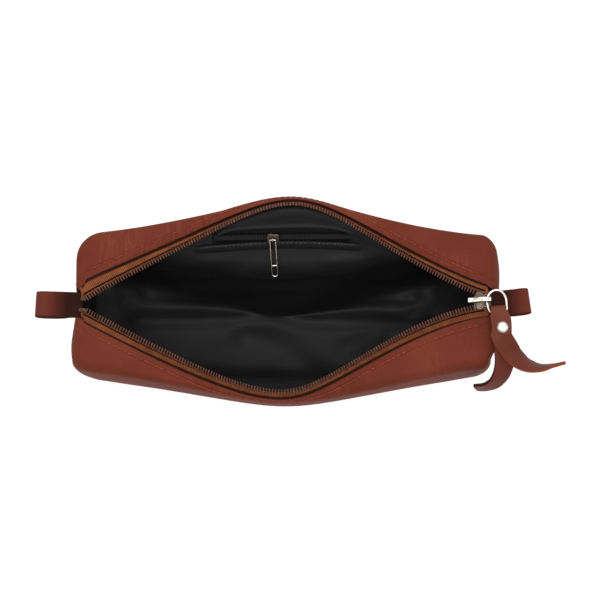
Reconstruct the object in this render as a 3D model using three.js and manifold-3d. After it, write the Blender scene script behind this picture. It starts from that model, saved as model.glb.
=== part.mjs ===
import * as THREE from 'three';
import * as BufferGeometryUtils from 'three/addons/utils/BufferGeometryUtils.js';
import Module from 'manifold-3d';

// A boxed leather pouch with a coil zip, standing on its base with its mouth open.
// Millimetres. +X runs along the zip to the end with the slider, +Y to the rear, +Z up.
// The origin is the middle of the base.

const wasm = await Module();
wasm.setup();

// Sizes of the body
const bodyLength = 209.4;
const bodyWidth = 66;
const bodyHeight = 61;
const leatherWall = 1.2;
const liningWall = 0.6;
const liningGap = 0.5;
const seamGap = 0.3;
const clearance = 0.3;
const endSkew = 1.2;
const endSkewReach = 8;
const cutOverrun = 12;
const weldTolerance = 0.00001;

// Sizes of the body's section: shoulder, wall and base, and the corners where it meets the end walls
const shoulderSpread = 20;
const shoulderRise = 5;
const shoulderRadius = 8;
const baseRadius = 5;
const wallBulge = 9;
const wallMiddleDrop = 31;
const wallMiddleHeight = bodyHeight - wallMiddleDrop;
const bandCrown = 1;
const endSideRadius = 6;
const endTopRadius = 2.6;
const endBaseRadius = 4;
const endAlongRadius = 6;

// Sizes of the lining, which hangs as a loose bag: its rear wall slopes in under the pocket zip
const liningInset = leatherWall + liningGap;
const liningEdge = 4.7;
const liningDrop = 1.2;
const liningSag = 2.2;
const rearShoulderInset = 14.5;
const rearShoulderDrop = 8;
const rearWallInset = 19;
const rearFootInset = 19;
const frontShoulderBulge = 9;
const frontWallBulge = 4;

// Sizes of the mouth, whose rim rises and spreads towards the middle
const mouthInset = 3.7;
const mouthLength = bodyLength - 2 * mouthInset;
const mouthSpread = 28;
const mouthWidth = bodyWidth + mouthSpread;
const rimRise = 17;
const mouthPeakShare = 0.25;
const riseShare = 2.5;
const shoulderShare = 1.35;
const fullnessShares = { rearLeft: 1.05, rearRight: 1.2, frontLeft: 1, frontRight: 1.6 };
const bandTiltAtEnds = THREE.MathUtils.degToRad(4);
const bandTiltAtMiddle = THREE.MathUtils.degToRad(55);

// Sizes of the main zip
const chainPitch = 1.5;
const chainWidth = 2.6;
const chainHeight = 1.4;
const chainProud = 0.2;
const chainEndOffset = 2.7;
const chainEndGap = 2;
const tapeThickness = 0.5;
const bandToLeather = 5.4;
const tapeLap = 0.7;
const tapeEndGap = 2.4;
const tapeDrop = 0.65;
const topStopLength = 2;
const topStopWidth = 2.8;
const topStopHeight = 1.9;

// Sizes of the main slider
const sliderLength = 8.6;
const sliderPastMouth = 1.5;
const sliderFrontWidth = 9.6;
const sliderRearWidth = 6.6;
const sliderPlate = 0.9;
const sliderLip = 0.5;
const sliderLipWidth = 0.7;
const sliderWedgeWidth = 1.8;
const sliderWedgeLength = 3.2;
const crownLength = 12.9;
const crownWidth = 2.4;
const crownHeight = 3.9;
const crownNose = 3.3;
const crownBar = 0.9;
const crownLegDrop = 1.4;

// Sizes of the pull ring and of the strap on it
const ringWire = 1.4;
const ringLength = 14;
const ringWidth = 11;
const ringForward = 1;
const ringTilt = THREE.MathUtils.degToRad(9);
const strapThickness = 1.3;
const strapWidth = 10;
const strapNeckWidth = 6;
const tailLength = 40;
const rivetDiameter = 6;
const rivetDome = 1.1;
const rivetHead = 0.7;
const rivetShank = 2.4;
const rivetFromBar = 6.6;
const rivetAcross = 2.1;
const rivetLift = 1.2;
const foldReach = 4.15;

// Sizes of the end loops
const loopWidth = 12.4;
const loopReach = 18.6;
const loopHeight = 8.6;
const loopThickness = 1.3;
const loopRoot = 3.4;

// Sizes of the zipped pocket on the rear lining
const pocketFromEnd = 68.7;
const pocketLength = bodyLength - 2 * pocketFromEnd;
const pocketCentreX = -2;
const pocketFromSide = 0.9;
const pocketCentreY = bodyWidth / 2 - pocketFromSide;
const pocketDrop = 0.45;
const pocketCentreZ = bodyHeight - pocketDrop;
const pocketSlope = THREE.MathUtils.degToRad(36.87);
const pocketPitch = 1.5;
const pocketChainWidth = 1.7;
const pocketChainInset = 1.5;
const pocketChainHeight = 1;
const pocketTape = 0.4;
const pocketOpening = 8.4;
const pocketTapeLap = 1.4;
const pocketHalfGap = 1.1;
const pocketSliderX = -5;
const pocketSliderLength = 6.6;
const pocketSliderWidth = 6.2;
const pocketPlate = 0.7;
const pocketLugHeight = 2.4;
const pocketLugWidth = 1.2;
const pocketLugLength = 3;
const pullLength = 19;
const pullWire = 0.8;
const pullCrossbarShare = 0.66;
const pullDroop = THREE.MathUtils.degToRad(5);
const bagThickness = 3.6;
const bagWall = 0.5;
const bagDepth = 44;
const bagDrop = 5.4;
const bagTop = bodyHeight - bagDrop;

// Counts: how finely each form is drawn
const leatherSteps = { band: 3, shoulder: 4, wall: 4, foot: 2, base: 1 };
const liningSteps = { band: 1, shoulder: 3, wall: 2, foot: 2, base: 1 };
const leatherStations = 14;
const liningStations = 12;
const tapeStations = 40;
const rimSamples = 80;
const ringTurns = 28;
const ringSides = 8;
const tailSteps = 14;
const foldTurns = 6;
const sliderSegments = 4;
const crownSegments = 5;
const pocketSegments = 3;
const loopSegments = 7;
const pullSegments = 6;
const roundSides = 20;
const holeSides = 16;
const boreSides = 10;

// Shares: the parts of a form as pure numbers, along its length or across its width
const endStationShares = [0, 0.13, 0.45, 1];
const stationPowerShare = 1.4;
const combShares = { root: 0.3, tipStart: 0.14, tipEnd: 0.66 };
const tapeUnderShare = 1 / 6;
const sliderWingShares = [[0, 1 / 4, 1 / 8, 5 / 11], [1 / 6, 1 / 2, 1 / 3, 1 / 2]];
const sliderShares = { nose: 1 / 12, neck: 1 / 2, waist: 0.6, lipEnd: 0.9, tail: 11 / 12, wedge: 1 / 9 };
const wedgeShares = [[0, 1 / 3], [1 / 3, 1 / 2], [1, 1 / 6]];
const crownShares = {
  leg: 0.34, legTop: 0.38, archStart: 0.44, arch: 0.62, archEnd: 0.8, farLeg: 0.82, foot: 0.93, crest: 0.6,
  rise: 0.3, nose: 0.7, noseTop: 1.2,
};
const ringSquareShare = 0.5;
const domeShares = [[0, 0], [1, 0], [1, 0.25], [0.9, 0.62], [0.6, 0.9], [0, 1]];
const headShares = [[0, 0], [0.85, 0], [1, 0.5], [1, 1]];
const loopShares = { outside: 1.6, eye: 1.3, inside: 1.7, skew: 0.62 };
const pocketRearShare = 0.8;

// Places along each tail of the strap after the rivet, as shares of its length: across, away and down
const frontTailShares = [
  [0.03, 0.13, 0.06], [0.13, 0.26, 0.16], [0.28, 0.345, 0.27], [0.46, 0.38, 0.37], [0.63, 0.37, 0.435],
  [0.845, 0.34, 0.47],
];
const rearTailShares = [
  [0.045, 0.12, 0.08], [0.07, 0.32, 0.19], [0.03, 0.495, 0.28], [-0.07, 0.58, 0.37], [-0.155, 0.62, 0.43],
  [-0.27, 0.62, 0.47],
];
const tailTwistShares = [0, 0.1, 0.32, 0.62, 0.86, 1];
const tailTwist = THREE.MathUtils.degToRad(76);

function finishOf(color, roughness, metalness = 0) {
  return new THREE.MeshStandardMaterial({ color, roughness, metalness });
}

const leather = finishOf('#7a3c2d', 0.5);
const darkLeather = finishOf('#5c2c20', 0.55);
const satin = finishOf('#1c1c1c', 0.6);
const tapeCloth = finishOf('#a0602e', 0.8);
const coil = finishOf('#7b5040', 0.45);
const darkCloth = finishOf('#161616', 0.8);
const darkCoil = finishOf('#202020', 0.45);
const nickel = finishOf('#d8d2c8', 0.2, 1);

const pouch = new THREE.Group();

function addMesh(name, geometry, material, parent = pouch) {
  const mesh = new THREE.Mesh(geometry, material);
  mesh.name = name;
  parent.add(mesh);
  return mesh;
}

// Closed solids: welded triangles, and booleans between them
function weld(geometry) {
  const bare = geometry.clone();
  bare.deleteAttribute('normal');
  bare.deleteAttribute('uv');
  return BufferGeometryUtils.mergeVertices(bare, weldTolerance);
}

function toSolid(geometry) {
  const welded = weld(geometry);
  return new wasm.Manifold(new wasm.Mesh({
    numProp: 3,
    vertProperties: new Float32Array(welded.attributes.position.array),
    triVerts: new Uint32Array(welded.index.array),
  }));
}

function toGeometry(solid) {
  const mesh = solid.getMesh();
  const geometry = new THREE.BufferGeometry();
  const places = new Float32Array(mesh.vertProperties);
  geometry.setAttribute('position', new THREE.BufferAttribute(places, 3));
  geometry.setIndex(new THREE.BufferAttribute(new Uint32Array(mesh.triVerts), 1));
  geometry.computeVertexNormals();
  return geometry;
}

function subtract(geometry, ...tools) {
  return toGeometry(tools.reduce((solid, tool) => solid.subtract(toSolid(tool)), toSolid(geometry)));
}

function unite(geometry, ...others) {
  return toGeometry(others.reduce((solid, other) => solid.add(toSolid(other)), toSolid(geometry)));
}

function block(low, high) {
  const size = new THREE.Vector3().subVectors(high, low);
  const middle = new THREE.Vector3().addVectors(low, high).multiplyScalar(1 / 2);
  return new THREE.BoxGeometry(size.x, size.y, size.z).translate(middle.x, middle.y, middle.z);
}

// A solid through rings of equally many points. An open one gets a flat fan on each end ring,
// and a ring around the path closes on itself.
function loft(rings, closed = false) {
  const count = rings[0].length;
  const points = rings.flat();
  const faces = [];
  const spans = closed ? rings.length : rings.length - 1;
  for (let i = 0; i < spans; i += 1) {
    const here = i * count;
    const next = ((i + 1) % rings.length) * count;
    for (let j = 0; j < count; j += 1) {
      const k = (j + 1) % count;
      faces.push(here + j, next + j, next + k, here + j, next + k, here + k);
    }
  }
  if (!closed) {
    const last = (rings.length - 1) * count;
    const firstMiddle = points.length;
    const lastMiddle = firstMiddle + 1;
    [rings[0], rings[rings.length - 1]].forEach((ring) => {
      const middle = new THREE.Vector3();
      ring.forEach((point) => middle.add(point));
      points.push(middle.divideScalar(count));
    });
    for (let j = 0; j < count; j += 1) {
      const k = (j + 1) % count;
      faces.push(firstMiddle, j, k, lastMiddle, last + k, last + j);
    }
  }
  const geometry = new THREE.BufferGeometry().setFromPoints(points);
  geometry.setIndex(faces);
  return facingOut(geometry);
}

// Turns a closed surface right side out, by the sign of its volume
function facingOut(geometry) {
  const position = geometry.attributes.position;
  const index = Array.from(geometry.index.array);
  const [a, b, c] = [new THREE.Vector3(), new THREE.Vector3(), new THREE.Vector3()];
  let volume = 0;
  for (let i = 0; i < index.length; i += 3) {
    a.fromBufferAttribute(position, index[i]);
    b.fromBufferAttribute(position, index[i + 1]);
    c.fromBufferAttribute(position, index[i + 2]);
    volume += a.dot(b.cross(c));
  }
  if (volume < 0) {
    for (let i = 0; i < index.length; i += 3) {
      [index[i], index[i + 1]] = [index[i + 1], index[i]];
    }
  }
  geometry.setIndex(index);
  geometry.computeVertexNormals();
  return geometry;
}

// The rim of the mouth: a rounded tent in plan that also rises towards its peak
function tentShare(x) {
  const along = Math.min(Math.abs(x) / (mouthLength / 2), 1);
  const fall = Math.hypot(along, mouthPeakShare) - mouthPeakShare;
  return Math.max(1 - fall / (Math.hypot(1, mouthPeakShare) - mouthPeakShare), 0);
}

function fullness(x, side) {
  if (side > 0) {
    return x < 0 ? fullnessShares.rearLeft : fullnessShares.rearRight;
  }
  return x < 0 ? fullnessShares.frontLeft : fullnessShares.frontRight;
}

function rimPoint(x, side) {
  const spread = Math.pow(tentShare(x), fullness(x, side));
  const y = THREE.MathUtils.lerp(chainEndOffset, mouthWidth / 2, spread);
  const z = bodyHeight + rimRise * Math.pow(tentShare(x), riseShare);
  return new THREE.Vector3(x, side * y, z);
}

function bandTilt(x) {
  return THREE.MathUtils.lerp(bandTiltAtEnds, bandTiltAtMiddle, tentShare(x));
}

// Directions at a place on the rim: along it, away from the mouth in the band, and square to the band
function rimFrame(x, side) {
  const step = chainPitch / 10;
  const along = rimPoint(x + step, side).sub(rimPoint(x - step, side)).normalize();
  const tilt = bandTilt(x);
  const outward = new THREE.Vector3(0, side * Math.cos(tilt), -Math.sin(tilt));
  outward.addScaledVector(along, -outward.dot(along)).normalize();
  const up = new THREE.Vector3().crossVectors(along, outward).normalize();
  if (up.z < 0) {
    up.negate();
  }
  return { origin: rimPoint(x, side), along, outward, up };
}

function onRim(frame, outward, up) {
  return frame.origin.clone().addScaledVector(frame.outward, outward).addScaledVector(frame.up, up);
}

// The half section of the body at a station, from the mouth's edge down to the middle of the base.
// It is drawn as distances outward from the zip's line and heights.
function cornerShare(fromEnd) {
  const reach = Math.min(Math.max(fromEnd / endAlongRadius, 0), 1);
  return 1 - Math.sqrt(1 - (1 - reach) * (1 - reach));
}

function addCurve(points, curve, steps) {
  curve.getPoints(steps).slice(1).forEach((point) => points.push(point));
}

function roundedSection(edge, shoulder, wall, foot, base, crown, steps) {
  const bandReach = Math.min(shoulderRadius, edge.distanceTo(shoulder) / 2);
  const beforeShoulder = shoulder.clone().lerp(edge, bandReach / edge.distanceTo(shoulder));
  const afterShoulder = shoulder.clone().lerp(wall, shoulderRadius / shoulder.distanceTo(wall));
  const beforeFoot = foot.clone().lerp(wall, baseRadius / foot.distanceTo(wall));
  const afterFoot = foot.clone().lerp(base, baseRadius / foot.distanceTo(base));
  const bandMiddle = edge.clone().lerp(beforeShoulder, 1 / 2).add(crown);
  const wallMiddle = wall.clone().multiplyScalar(2)
    .addScaledVector(afterShoulder, -1 / 2).addScaledVector(beforeFoot, -1 / 2);
  const points = [edge];
  addCurve(points, new THREE.QuadraticBezierCurve(edge, bandMiddle, beforeShoulder), steps.band);
  addCurve(
    points, new THREE.QuadraticBezierCurve(beforeShoulder, shoulder, afterShoulder), steps.shoulder,
  );
  addCurve(points, new THREE.QuadraticBezierCurve(afterShoulder, wallMiddle, beforeFoot), steps.wall);
  addCurve(points, new THREE.QuadraticBezierCurve(beforeFoot, foot, afterFoot), steps.foot);
  addCurve(points, new THREE.LineCurve(afterFoot, base), steps.base);
  return points;
}

// Where the band of zip and tape meets the section, measured square to the rim
function bandPoint(x, side, outward, up) {
  const rim = rimPoint(x, side);
  const frame = rimFrame(x, side);
  const stretch = outward / Math.max(Math.hypot(frame.outward.y, frame.outward.z), 1 / 2);
  const tilt = bandTilt(x);
  return new THREE.Vector2(
    Math.abs(rim.y) + stretch * Math.cos(tilt) + up * Math.sin(tilt),
    rim.z - stretch * Math.sin(tilt) + up * Math.cos(tilt),
  );
}

function leatherSection(x, side, fromEnd) {
  const tent = tentShare(x);
  const corner = cornerShare(fromEnd);
  const edge = bandPoint(x, side, bandToLeather, 0);
  edge.y -= endTopRadius * corner;
  const halfWidth = bodyWidth / 2 - endSideRadius * corner;
  const shoulder = new THREE.Vector2(
    halfWidth + shoulderSpread * Math.pow(tent, shoulderShare),
    bodyHeight + shoulderRise * tent - endTopRadius * corner,
  );
  const wall = new THREE.Vector2(halfWidth + wallBulge * tent, wallMiddleHeight);
  const foot = new THREE.Vector2(halfWidth, endBaseRadius * corner);
  const base = new THREE.Vector2(seamGap / 2, foot.y);
  const crown = new THREE.Vector2(0, bandCrown);
  return roundedSection(edge, shoulder, wall, foot, base, crown, leatherSteps);
}

function liningSection(x, side, fromEnd) {
  const tent = tentShare(x);
  const corner = cornerShare(fromEnd);
  const rear = side > 0;
  const shoulderInset = rear ? rearShoulderInset : -frontShoulderBulge;
  const wallInset = rear ? rearWallInset : -frontWallBulge;
  const footInset = rear ? rearFootInset : 0;
  const shoulderDrop = rear ? rearShoulderDrop : 0;
  const under = tapeThickness + chainHeight - chainProud + tapeDrop + liningDrop;
  const edge = bandPoint(x, side, liningEdge, -under);
  edge.y -= endTopRadius * corner;
  const halfWidth = bodyWidth / 2 - liningInset - endSideRadius * corner;
  const shoulder = new THREE.Vector2(
    halfWidth - shoulderInset * tent,
    bodyHeight - liningInset - liningSag - endTopRadius * corner - shoulderDrop * tent,
  );
  const wall = new THREE.Vector2(halfWidth - wallInset * tent, wallMiddleHeight);
  const foot = new THREE.Vector2(halfWidth - footInset * tent, liningInset + endBaseRadius * corner);
  const base = new THREE.Vector2(seamGap / 2, foot.y);
  return roundedSection(edge, shoulder, wall, foot, base, new THREE.Vector2(), liningSteps);
}

function skewed(x, y, z) {
  return new THREE.Vector3(x + endSkew * y / Math.hypot(y, endSkewReach), y, z);
}

// The section moved towards the inside of the body by the thickness of the wall
function innerSection(points, wall) {
  return points.map((point, i) => {
    const before = points[Math.max(i - 1, 0)];
    const after = points[Math.min(i + 1, points.length - 1)];
    const ahead = after.clone().sub(before).normalize();
    return new THREE.Vector2(point.x + wall * ahead.y, point.y - wall * ahead.x);
  });
}

// One half of a body with walls of one thickness: an outer and an inner sheet through the sections,
// each closed by its end faces, and joined along the mouth and along the middle seam
function endFaces(ring, start) {
  const contour = ring.map((point) => new THREE.Vector2(point.y, point.z));
  const turn = Math.sign(THREE.ShapeUtils.area(contour));
  return THREE.ShapeUtils.triangulateShape(contour, []).map((face) => {
    const area = THREE.ShapeUtils.area(face.map((corner) => contour[corner]));
    const ordered = Math.sign(area) === turn ? face : [face[0], face[2], face[1]];
    return ordered.map((corner) => start[corner]);
  });
}

function halfBody(section, side, half, wall, middleStations) {
  const inner = half - endAlongRadius;
  const stations = endStationShares.map((share) => (
    { x: -half, along: 1, offset: share * endAlongRadius }
  ));
  for (let i = 1; i < middleStations; i += 1) {
    const share = 2 * i / middleStations - 1;
    const x = inner * Math.sign(share) * Math.pow(Math.abs(share), stationPowerShare);
    stations.push({ x, along: 0, offset: endAlongRadius });
  }
  stations.push(...[...endStationShares].reverse().map((share) => (
    { x: half, along: -1, offset: share * endAlongRadius }
  )));
  const points = [];
  const faces = [];
  const sheets = [0, wall].map((depth) => {
    const shift = (offset) => depth + offset * (1 - depth / endAlongRadius);
    const rings = stations.map(({ x, along, offset }) => {
      const place = x + along * shift(offset);
      const outer = section(x + along * offset, side, offset);
      return (depth > 0 ? innerSection(outer, depth) : outer)
        .map((point) => skewed(place, side * point.x, point.y));
    });
    const last = rings[0].length - 1;
    const ids = rings.map((ring) => ring.map((point) => points.push(point) - 1));
    const corners = [rings[0], rings[rings.length - 1]].map((ring) => (
      points.push(new THREE.Vector3(ring[last].x, ring[last].y, ring[0].z)) - 1
    ));
    const sheetFaces = [];
    for (let i = 0; i + 1 < ids.length; i += 1) {
      for (let j = 0; j < last; j += 1) {
        sheetFaces.push([ids[i][j], ids[i + 1][j], ids[i + 1][j + 1]]);
        sheetFaces.push([ids[i][j], ids[i + 1][j + 1], ids[i][j + 1]]);
      }
    }
    const lids = [[ids[0], corners[0], false], [ids[ids.length - 1], corners[1], true]];
    lids.forEach(([ring, corner, turned]) => {
      const loop = [...ring, corner];
      endFaces(loop.map((id) => points[id]), loop).forEach((face) => {
        sheetFaces.push(turned ? [face[0], face[2], face[1]] : face);
      });
    });
    faces.push(...sheetFaces.map((face) => (depth > 0 ? [face[0], face[2], face[1]] : face)));
    return [
      ...ids.map((ring) => ring[0]),
      corners[1],
      ...[...ids].reverse().map((ring) => ring[last]),
      corners[0],
    ];
  });
  const [outerLoop, innerLoop] = sheets;
  outerLoop.forEach((here, i) => {
    const next = (i + 1) % outerLoop.length;
    faces.push([outerLoop[next], here, innerLoop[i]]);
    faces.push([outerLoop[next], innerLoop[i], innerLoop[next]]);
  });
  const geometry = new THREE.BufferGeometry().setFromPoints(points);
  geometry.setIndex(faces.flat());
  return facingOut(geometry);
}

function buildLeather() {
  const baseHalfLength = bodyLength / 2 - endAlongRadius - endSkew - seamGap;
  const baseHalfWidth = bodyWidth / 2 - baseRadius - seamGap;
  addMesh('base_panel', block(
    new THREE.Vector3(-baseHalfLength, -baseHalfWidth, 0),
    new THREE.Vector3(baseHalfLength, baseHalfWidth, leatherWall),
  ), leather);
  const baseOpening = block(
    new THREE.Vector3(-baseHalfLength - seamGap, -baseHalfWidth - seamGap, -cutOverrun),
    new THREE.Vector3(baseHalfLength + seamGap, baseHalfWidth + seamGap, cutOverrun),
  );
  [['rear', 1], ['front', -1]].forEach(([name, side]) => {
    const panel = halfBody(leatherSection, side, bodyLength / 2, leatherWall, leatherStations);
    addMesh(`${name}_leather_panel`, subtract(panel, baseOpening), leather);
  });
}

function pocketWindow() {
  const window = new THREE.BoxGeometry(pocketLength, pocketOpening, cutOverrun);
  window.rotateX(pocketSlope);
  return window.translate(pocketCentreX, pocketCentreY, pocketCentreZ);
}

function buildLining() {
  const half = bodyLength / 2 - liningInset;
  const rear = halfBody(liningSection, 1, half, liningWall, liningStations);
  addMesh('rear_lining', subtract(rear, pocketWindow()), satin);
  addMesh('front_lining', halfBody(liningSection, -1, half, liningWall, liningStations), satin);
}

// A comb of teeth joined along their outer edge. Each frame gives a place on the path, and the teeth
// have narrow gaps that open towards their tips.
function comb(frameAt, count, width, low, high) {
  const points = [];
  const faces = [];
  const place = (share, outward) => {
    const frame = frameAt(share);
    const base = points.length;
    points.push(onRim(frame, outward, low), onRim(frame, outward, high));
    return base;
  };
  const spine = [];
  const inner = [];
  for (let i = 0; i <= count; i += 1) {
    spine.push(place(i / count, width / 2));
    inner.push(place(i / count, width * (1 / 2 - combShares.root)));
    if (i < count) {
      inner.push(place((i + combShares.tipStart) / count, -width / 2));
      inner.push(place((i + combShares.tipEnd) / count, -width / 2));
    }
  }
  const quad = (a, b, c, d) => faces.push(a, b, c, a, c, d);
  for (let i = 0; i < count; i += 1) {
    const [s, e] = [spine[i], spine[i + 1]];
    const [p, q, r, t] = inner.slice(3 * i, 3 * i + 4);
    [[0, 1], [1, -1]].forEach(([level, turn]) => {
      [[s, p, q], [s, q, r], [s, r, e], [r, t, e]].forEach((face) => {
        const corners = turn > 0 ? face : [face[0], face[2], face[1]];
        faces.push(...corners.map((corner) => corner + level));
      });
    });
    [[p, q], [q, r], [r, t]].forEach(([a, b]) => quad(a, a + 1, b + 1, b));
    quad(s, e, e + 1, s + 1);
  }
  quad(spine[0], spine[0] + 1, inner[0] + 1, inner[0]);
  const [endSpine, endInner] = [spine[count], inner[3 * count]];
  quad(endSpine, endInner, endInner + 1, endSpine + 1);
  const geometry = new THREE.BufferGeometry().setFromPoints(points);
  geometry.setIndex(faces);
  return facingOut(geometry);
}

// The x at each share of the rim's own length, so that the teeth keep their pitch round the curve
function rimStations(side, from, to) {
  const curve = new THREE.CatmullRomCurve3(Array.from(
    { length: rimSamples + 1 },
    (_, i) => rimPoint(THREE.MathUtils.lerp(from, to, i / rimSamples), side),
  ));
  curve.arcLengthDivisions = 10 * rimSamples;
  return curve;
}

const chainLeft = -mouthLength / 2 + topStopLength + 3 * clearance;
const chainRight = mouthLength / 2 - chainEndGap;
const tapeReach = mouthLength / 2 - tapeEndGap;

function buildZip() {
  const chainTop = chainProud;
  const chainLow = chainProud - chainHeight;
  const tapeTop = chainLow - tapeDrop;
  [['rear', 1], ['front', -1]].forEach(([name, side]) => {
    const curve = rimStations(side, chainLeft, chainRight);
    const teeth = Math.round(curve.getLength() / chainPitch);
    const frameAt = (share) => rimFrame(curve.getPointAt(share).x, side);
    addMesh(`${name}_zip_chain`, comb(frameAt, teeth, chainWidth, chainLow, chainTop), coil);
    const rings = Array.from({ length: tapeStations + 1 }, (_, i) => {
      const frame = rimFrame(THREE.MathUtils.lerp(-tapeReach, tapeReach, i / tapeStations), side);
      const outer = bandToLeather + tapeLap;
      return [
        onRim(frame, -chainWidth * tapeUnderShare, tapeTop),
        onRim(frame, outer, tapeTop),
        onRim(frame, outer, tapeTop - tapeThickness),
        onRim(frame, -chainWidth * tapeUnderShare, tapeTop - tapeThickness),
      ];
    });
    addMesh(`${name}_zip_tape`, loft(rings), tapeCloth);
    const stopFrame = rimFrame(-mouthLength / 2 + topStopLength / 2, side);
    const stopMiddle = onRim(stopFrame, 0, tapeTop + clearance + topStopHeight / 2);
    const stop = new THREE.BoxGeometry(topStopLength, topStopWidth, topStopHeight);
    addMesh(`${name}_top_stop`, stop.translate(stopMiddle.x, stopMiddle.y, stopMiddle.z), nickel);
  });
}

// The slider: two shaped plates on a wedge that parts the chains, with lips along the plates' sides
const sliderFront = mouthLength / 2 - sliderLength + sliderPastMouth;
const channelTop = bodyHeight + chainProud + clearance + sliderLip;
const underTape = chainHeight + tapeDrop + tapeThickness;
const channelLow = bodyHeight + chainProud - underTape - clearance - sliderLip;

// A slider from above, with wide wings in front that narrow to the rear
function sliderOutline(length, front, rear, segments) {
  const half = new THREE.Path();
  half.moveTo(length * sliderShares.nose, 0);
  sliderWingShares.forEach(([pullX, pullY, x, y]) => {
    half.quadraticCurveTo(length * pullX, front * pullY, length * x, front * y);
  });
  half.quadraticCurveTo(length * sliderShares.neck, front / 2, length * sliderShares.waist, rear / 2);
  half.lineTo(length * sliderShares.tail, rear / 2);
  half.quadraticCurveTo(length, rear / 2, length, rear / 3);
  const points = half.getPoints(segments);
  return new THREE.Shape([...points, ...mirrored(points.slice(1))]);
}

function mirrored(points) {
  return [...points].reverse().map((point) => new THREE.Vector2(point.x, -point.y));
}

function slabOf(shape, x, low, height, segments) {
  const slab = new THREE.ExtrudeGeometry(shape, {
    depth: height,
    bevelEnabled: false,
    curveSegments: segments,
  });
  return slab.translate(x, 0, low);
}

function sliderSolid(size) {
  const outline = sliderOutline(size.length, size.front, size.rear, size.segments);
  const top = slabOf(outline, size.x, size.channelTop, size.plate, size.segments);
  const bottom = slabOf(outline, size.x, size.channelLow - size.plate, size.plate, size.segments);
  const lipStart = size.x + size.length * sliderShares.waist;
  const lipEnd = size.x + size.length * sliderShares.lipEnd;
  const lips = [];
  [1, -1].forEach((side) => {
    const near = side * (size.rear / 2 - size.lipWidth);
    const far = side * size.rear / 2;
    const [low, high] = [Math.min(near, far), Math.max(near, far)];
    lips.push(block(
      new THREE.Vector3(lipStart, low, size.channelTop - size.lip),
      new THREE.Vector3(lipEnd, high, size.channelTop + size.plate / 2),
    ));
    lips.push(block(
      new THREE.Vector3(lipStart, low, size.channelLow - size.plate / 2),
      new THREE.Vector3(lipEnd, high, size.channelLow + size.lip),
    ));
  });
  const wedge = wedgeShares.map(([along, across]) => (
    new THREE.Vector2(size.wedgeLength * along, size.wedge * across)
  ));
  const post = slabOf(
    new THREE.Shape([...wedge, ...mirrored(wedge)]),
    size.x + size.length * sliderShares.wedge,
    size.channelLow - size.plate / 2,
    size.channelTop - size.channelLow + size.plate,
    size.segments,
  );
  return unite(top, bottom, post, ...lips);
}

// The bridge over the slider, with a tunnel for the ring and a nose that runs forward
function crownOutline() {
  const outline = new THREE.Shape();
  const share = crownShares;
  const at = (along) => crownNose + (crownLength - crownNose) * along;
  const under = crownHeight - crownBar;
  outline.moveTo(0, crownBar / 2);
  outline.quadraticCurveTo(0, 0, crownBar / 2, 0);
  outline.lineTo(at(share.leg), 0);
  outline.lineTo(at(share.legTop), under - crownLegDrop);
  outline.quadraticCurveTo(at(share.archStart), under, at(share.arch), under);
  outline.quadraticCurveTo(at(share.archEnd), under, at(share.farLeg), 0);
  outline.lineTo(at(share.foot), 0);
  outline.quadraticCurveTo(crownLength, crownHeight, at(share.crest), crownHeight);
  outline.quadraticCurveTo(
    at(share.rise), crownHeight, crownNose * share.nose, crownBar * share.noseTop,
  );
  outline.lineTo(crownBar / 2, crownBar);
  outline.quadraticCurveTo(0, crownBar, 0, crownBar / 2);
  return outline;
}

const crownLow = channelTop + sliderPlate + clearance;
const crownFront = sliderFront - crownNose;
const tunnelX = crownFront + crownNose + (crownLength - crownNose) * crownShares.arch;
const tunnelZ = crownLow + (crownHeight - crownBar) / 2 + clearance / 2;

const slider = new THREE.Group();
pouch.add(slider);

function buildSlider() {
  addMesh('main_slider_body', sliderSolid({
    x: sliderFront,
    length: sliderLength,
    front: sliderFrontWidth,
    rear: sliderRearWidth,
    plate: sliderPlate,
    lip: sliderLip,
    lipWidth: sliderLipWidth,
    wedge: sliderWedgeWidth,
    wedgeLength: sliderWedgeLength,
    channelTop,
    channelLow,
    segments: sliderSegments,
  }), nickel, slider);
  const crown = slabOf(crownOutline(), 0, 0, crownWidth, crownSegments).rotateX(Math.PI / 2);
  crown.translate(crownFront, crownWidth / 2, crownLow);
  addMesh('main_slider_crown', crown, nickel, slider);
}

// The ring hangs in the tunnel by its left side and rises a little to the right
const ringGroup = new THREE.Group();
ringGroup.position.set(tunnelX, 0, tunnelZ);
ringGroup.rotation.y = -ringTilt;
slider.add(ringGroup);

const ringHalfWidth = (ringWidth - ringWire) / 2;
const ringHalfLength = (ringLength - ringWire) / 2;
const barY = -ringForward - ringHalfLength;

function buildRing() {
  const rings = Array.from({ length: ringTurns }, (_, i) => {
    const angle = 2 * Math.PI * i / ringTurns;
    const share = Math.sin(angle) < 0 ? ringSquareShare : 1;
    const squared = (value) => Math.sign(value) * Math.pow(Math.abs(value), share);
    const middle = new THREE.Vector3(
      ringHalfWidth * (1 + squared(Math.cos(angle))),
      -ringForward + ringHalfLength * squared(Math.sin(angle)),
      0,
    );
    const outward = new THREE.Vector3(
      Math.cos(angle) / ringHalfWidth,
      Math.sin(angle) / ringHalfLength,
      0,
    ).normalize();
    return Array.from({ length: ringSides }, (unused, j) => {
      const turn = 2 * Math.PI * j / ringSides;
      return middle.clone()
        .addScaledVector(outward, ringWire / 2 * Math.cos(turn))
        .add(new THREE.Vector3(0, 0, ringWire / 2 * Math.sin(turn)));
    });
  });
  addMesh('pull_ring', loft(rings, true), nickel, ringGroup);
}

// The strap folds round the bar of the ring. Its two layers meet at the rivet and part into tails.
const foldX = ringHalfWidth;
const layerOut = ringWire / 2 + clearance + strapThickness / 2;
const layerIn = clearance / 2 + strapThickness / 2;
const foldY = barY + foldReach - layerOut - strapThickness / 2;
const rivetX = foldX + rivetAcross;
const rivetY = barY - rivetFromBar;
const rivetZ = rivetLift;
const flatReach = rivetDiameter / 2 + clearance;

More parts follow.
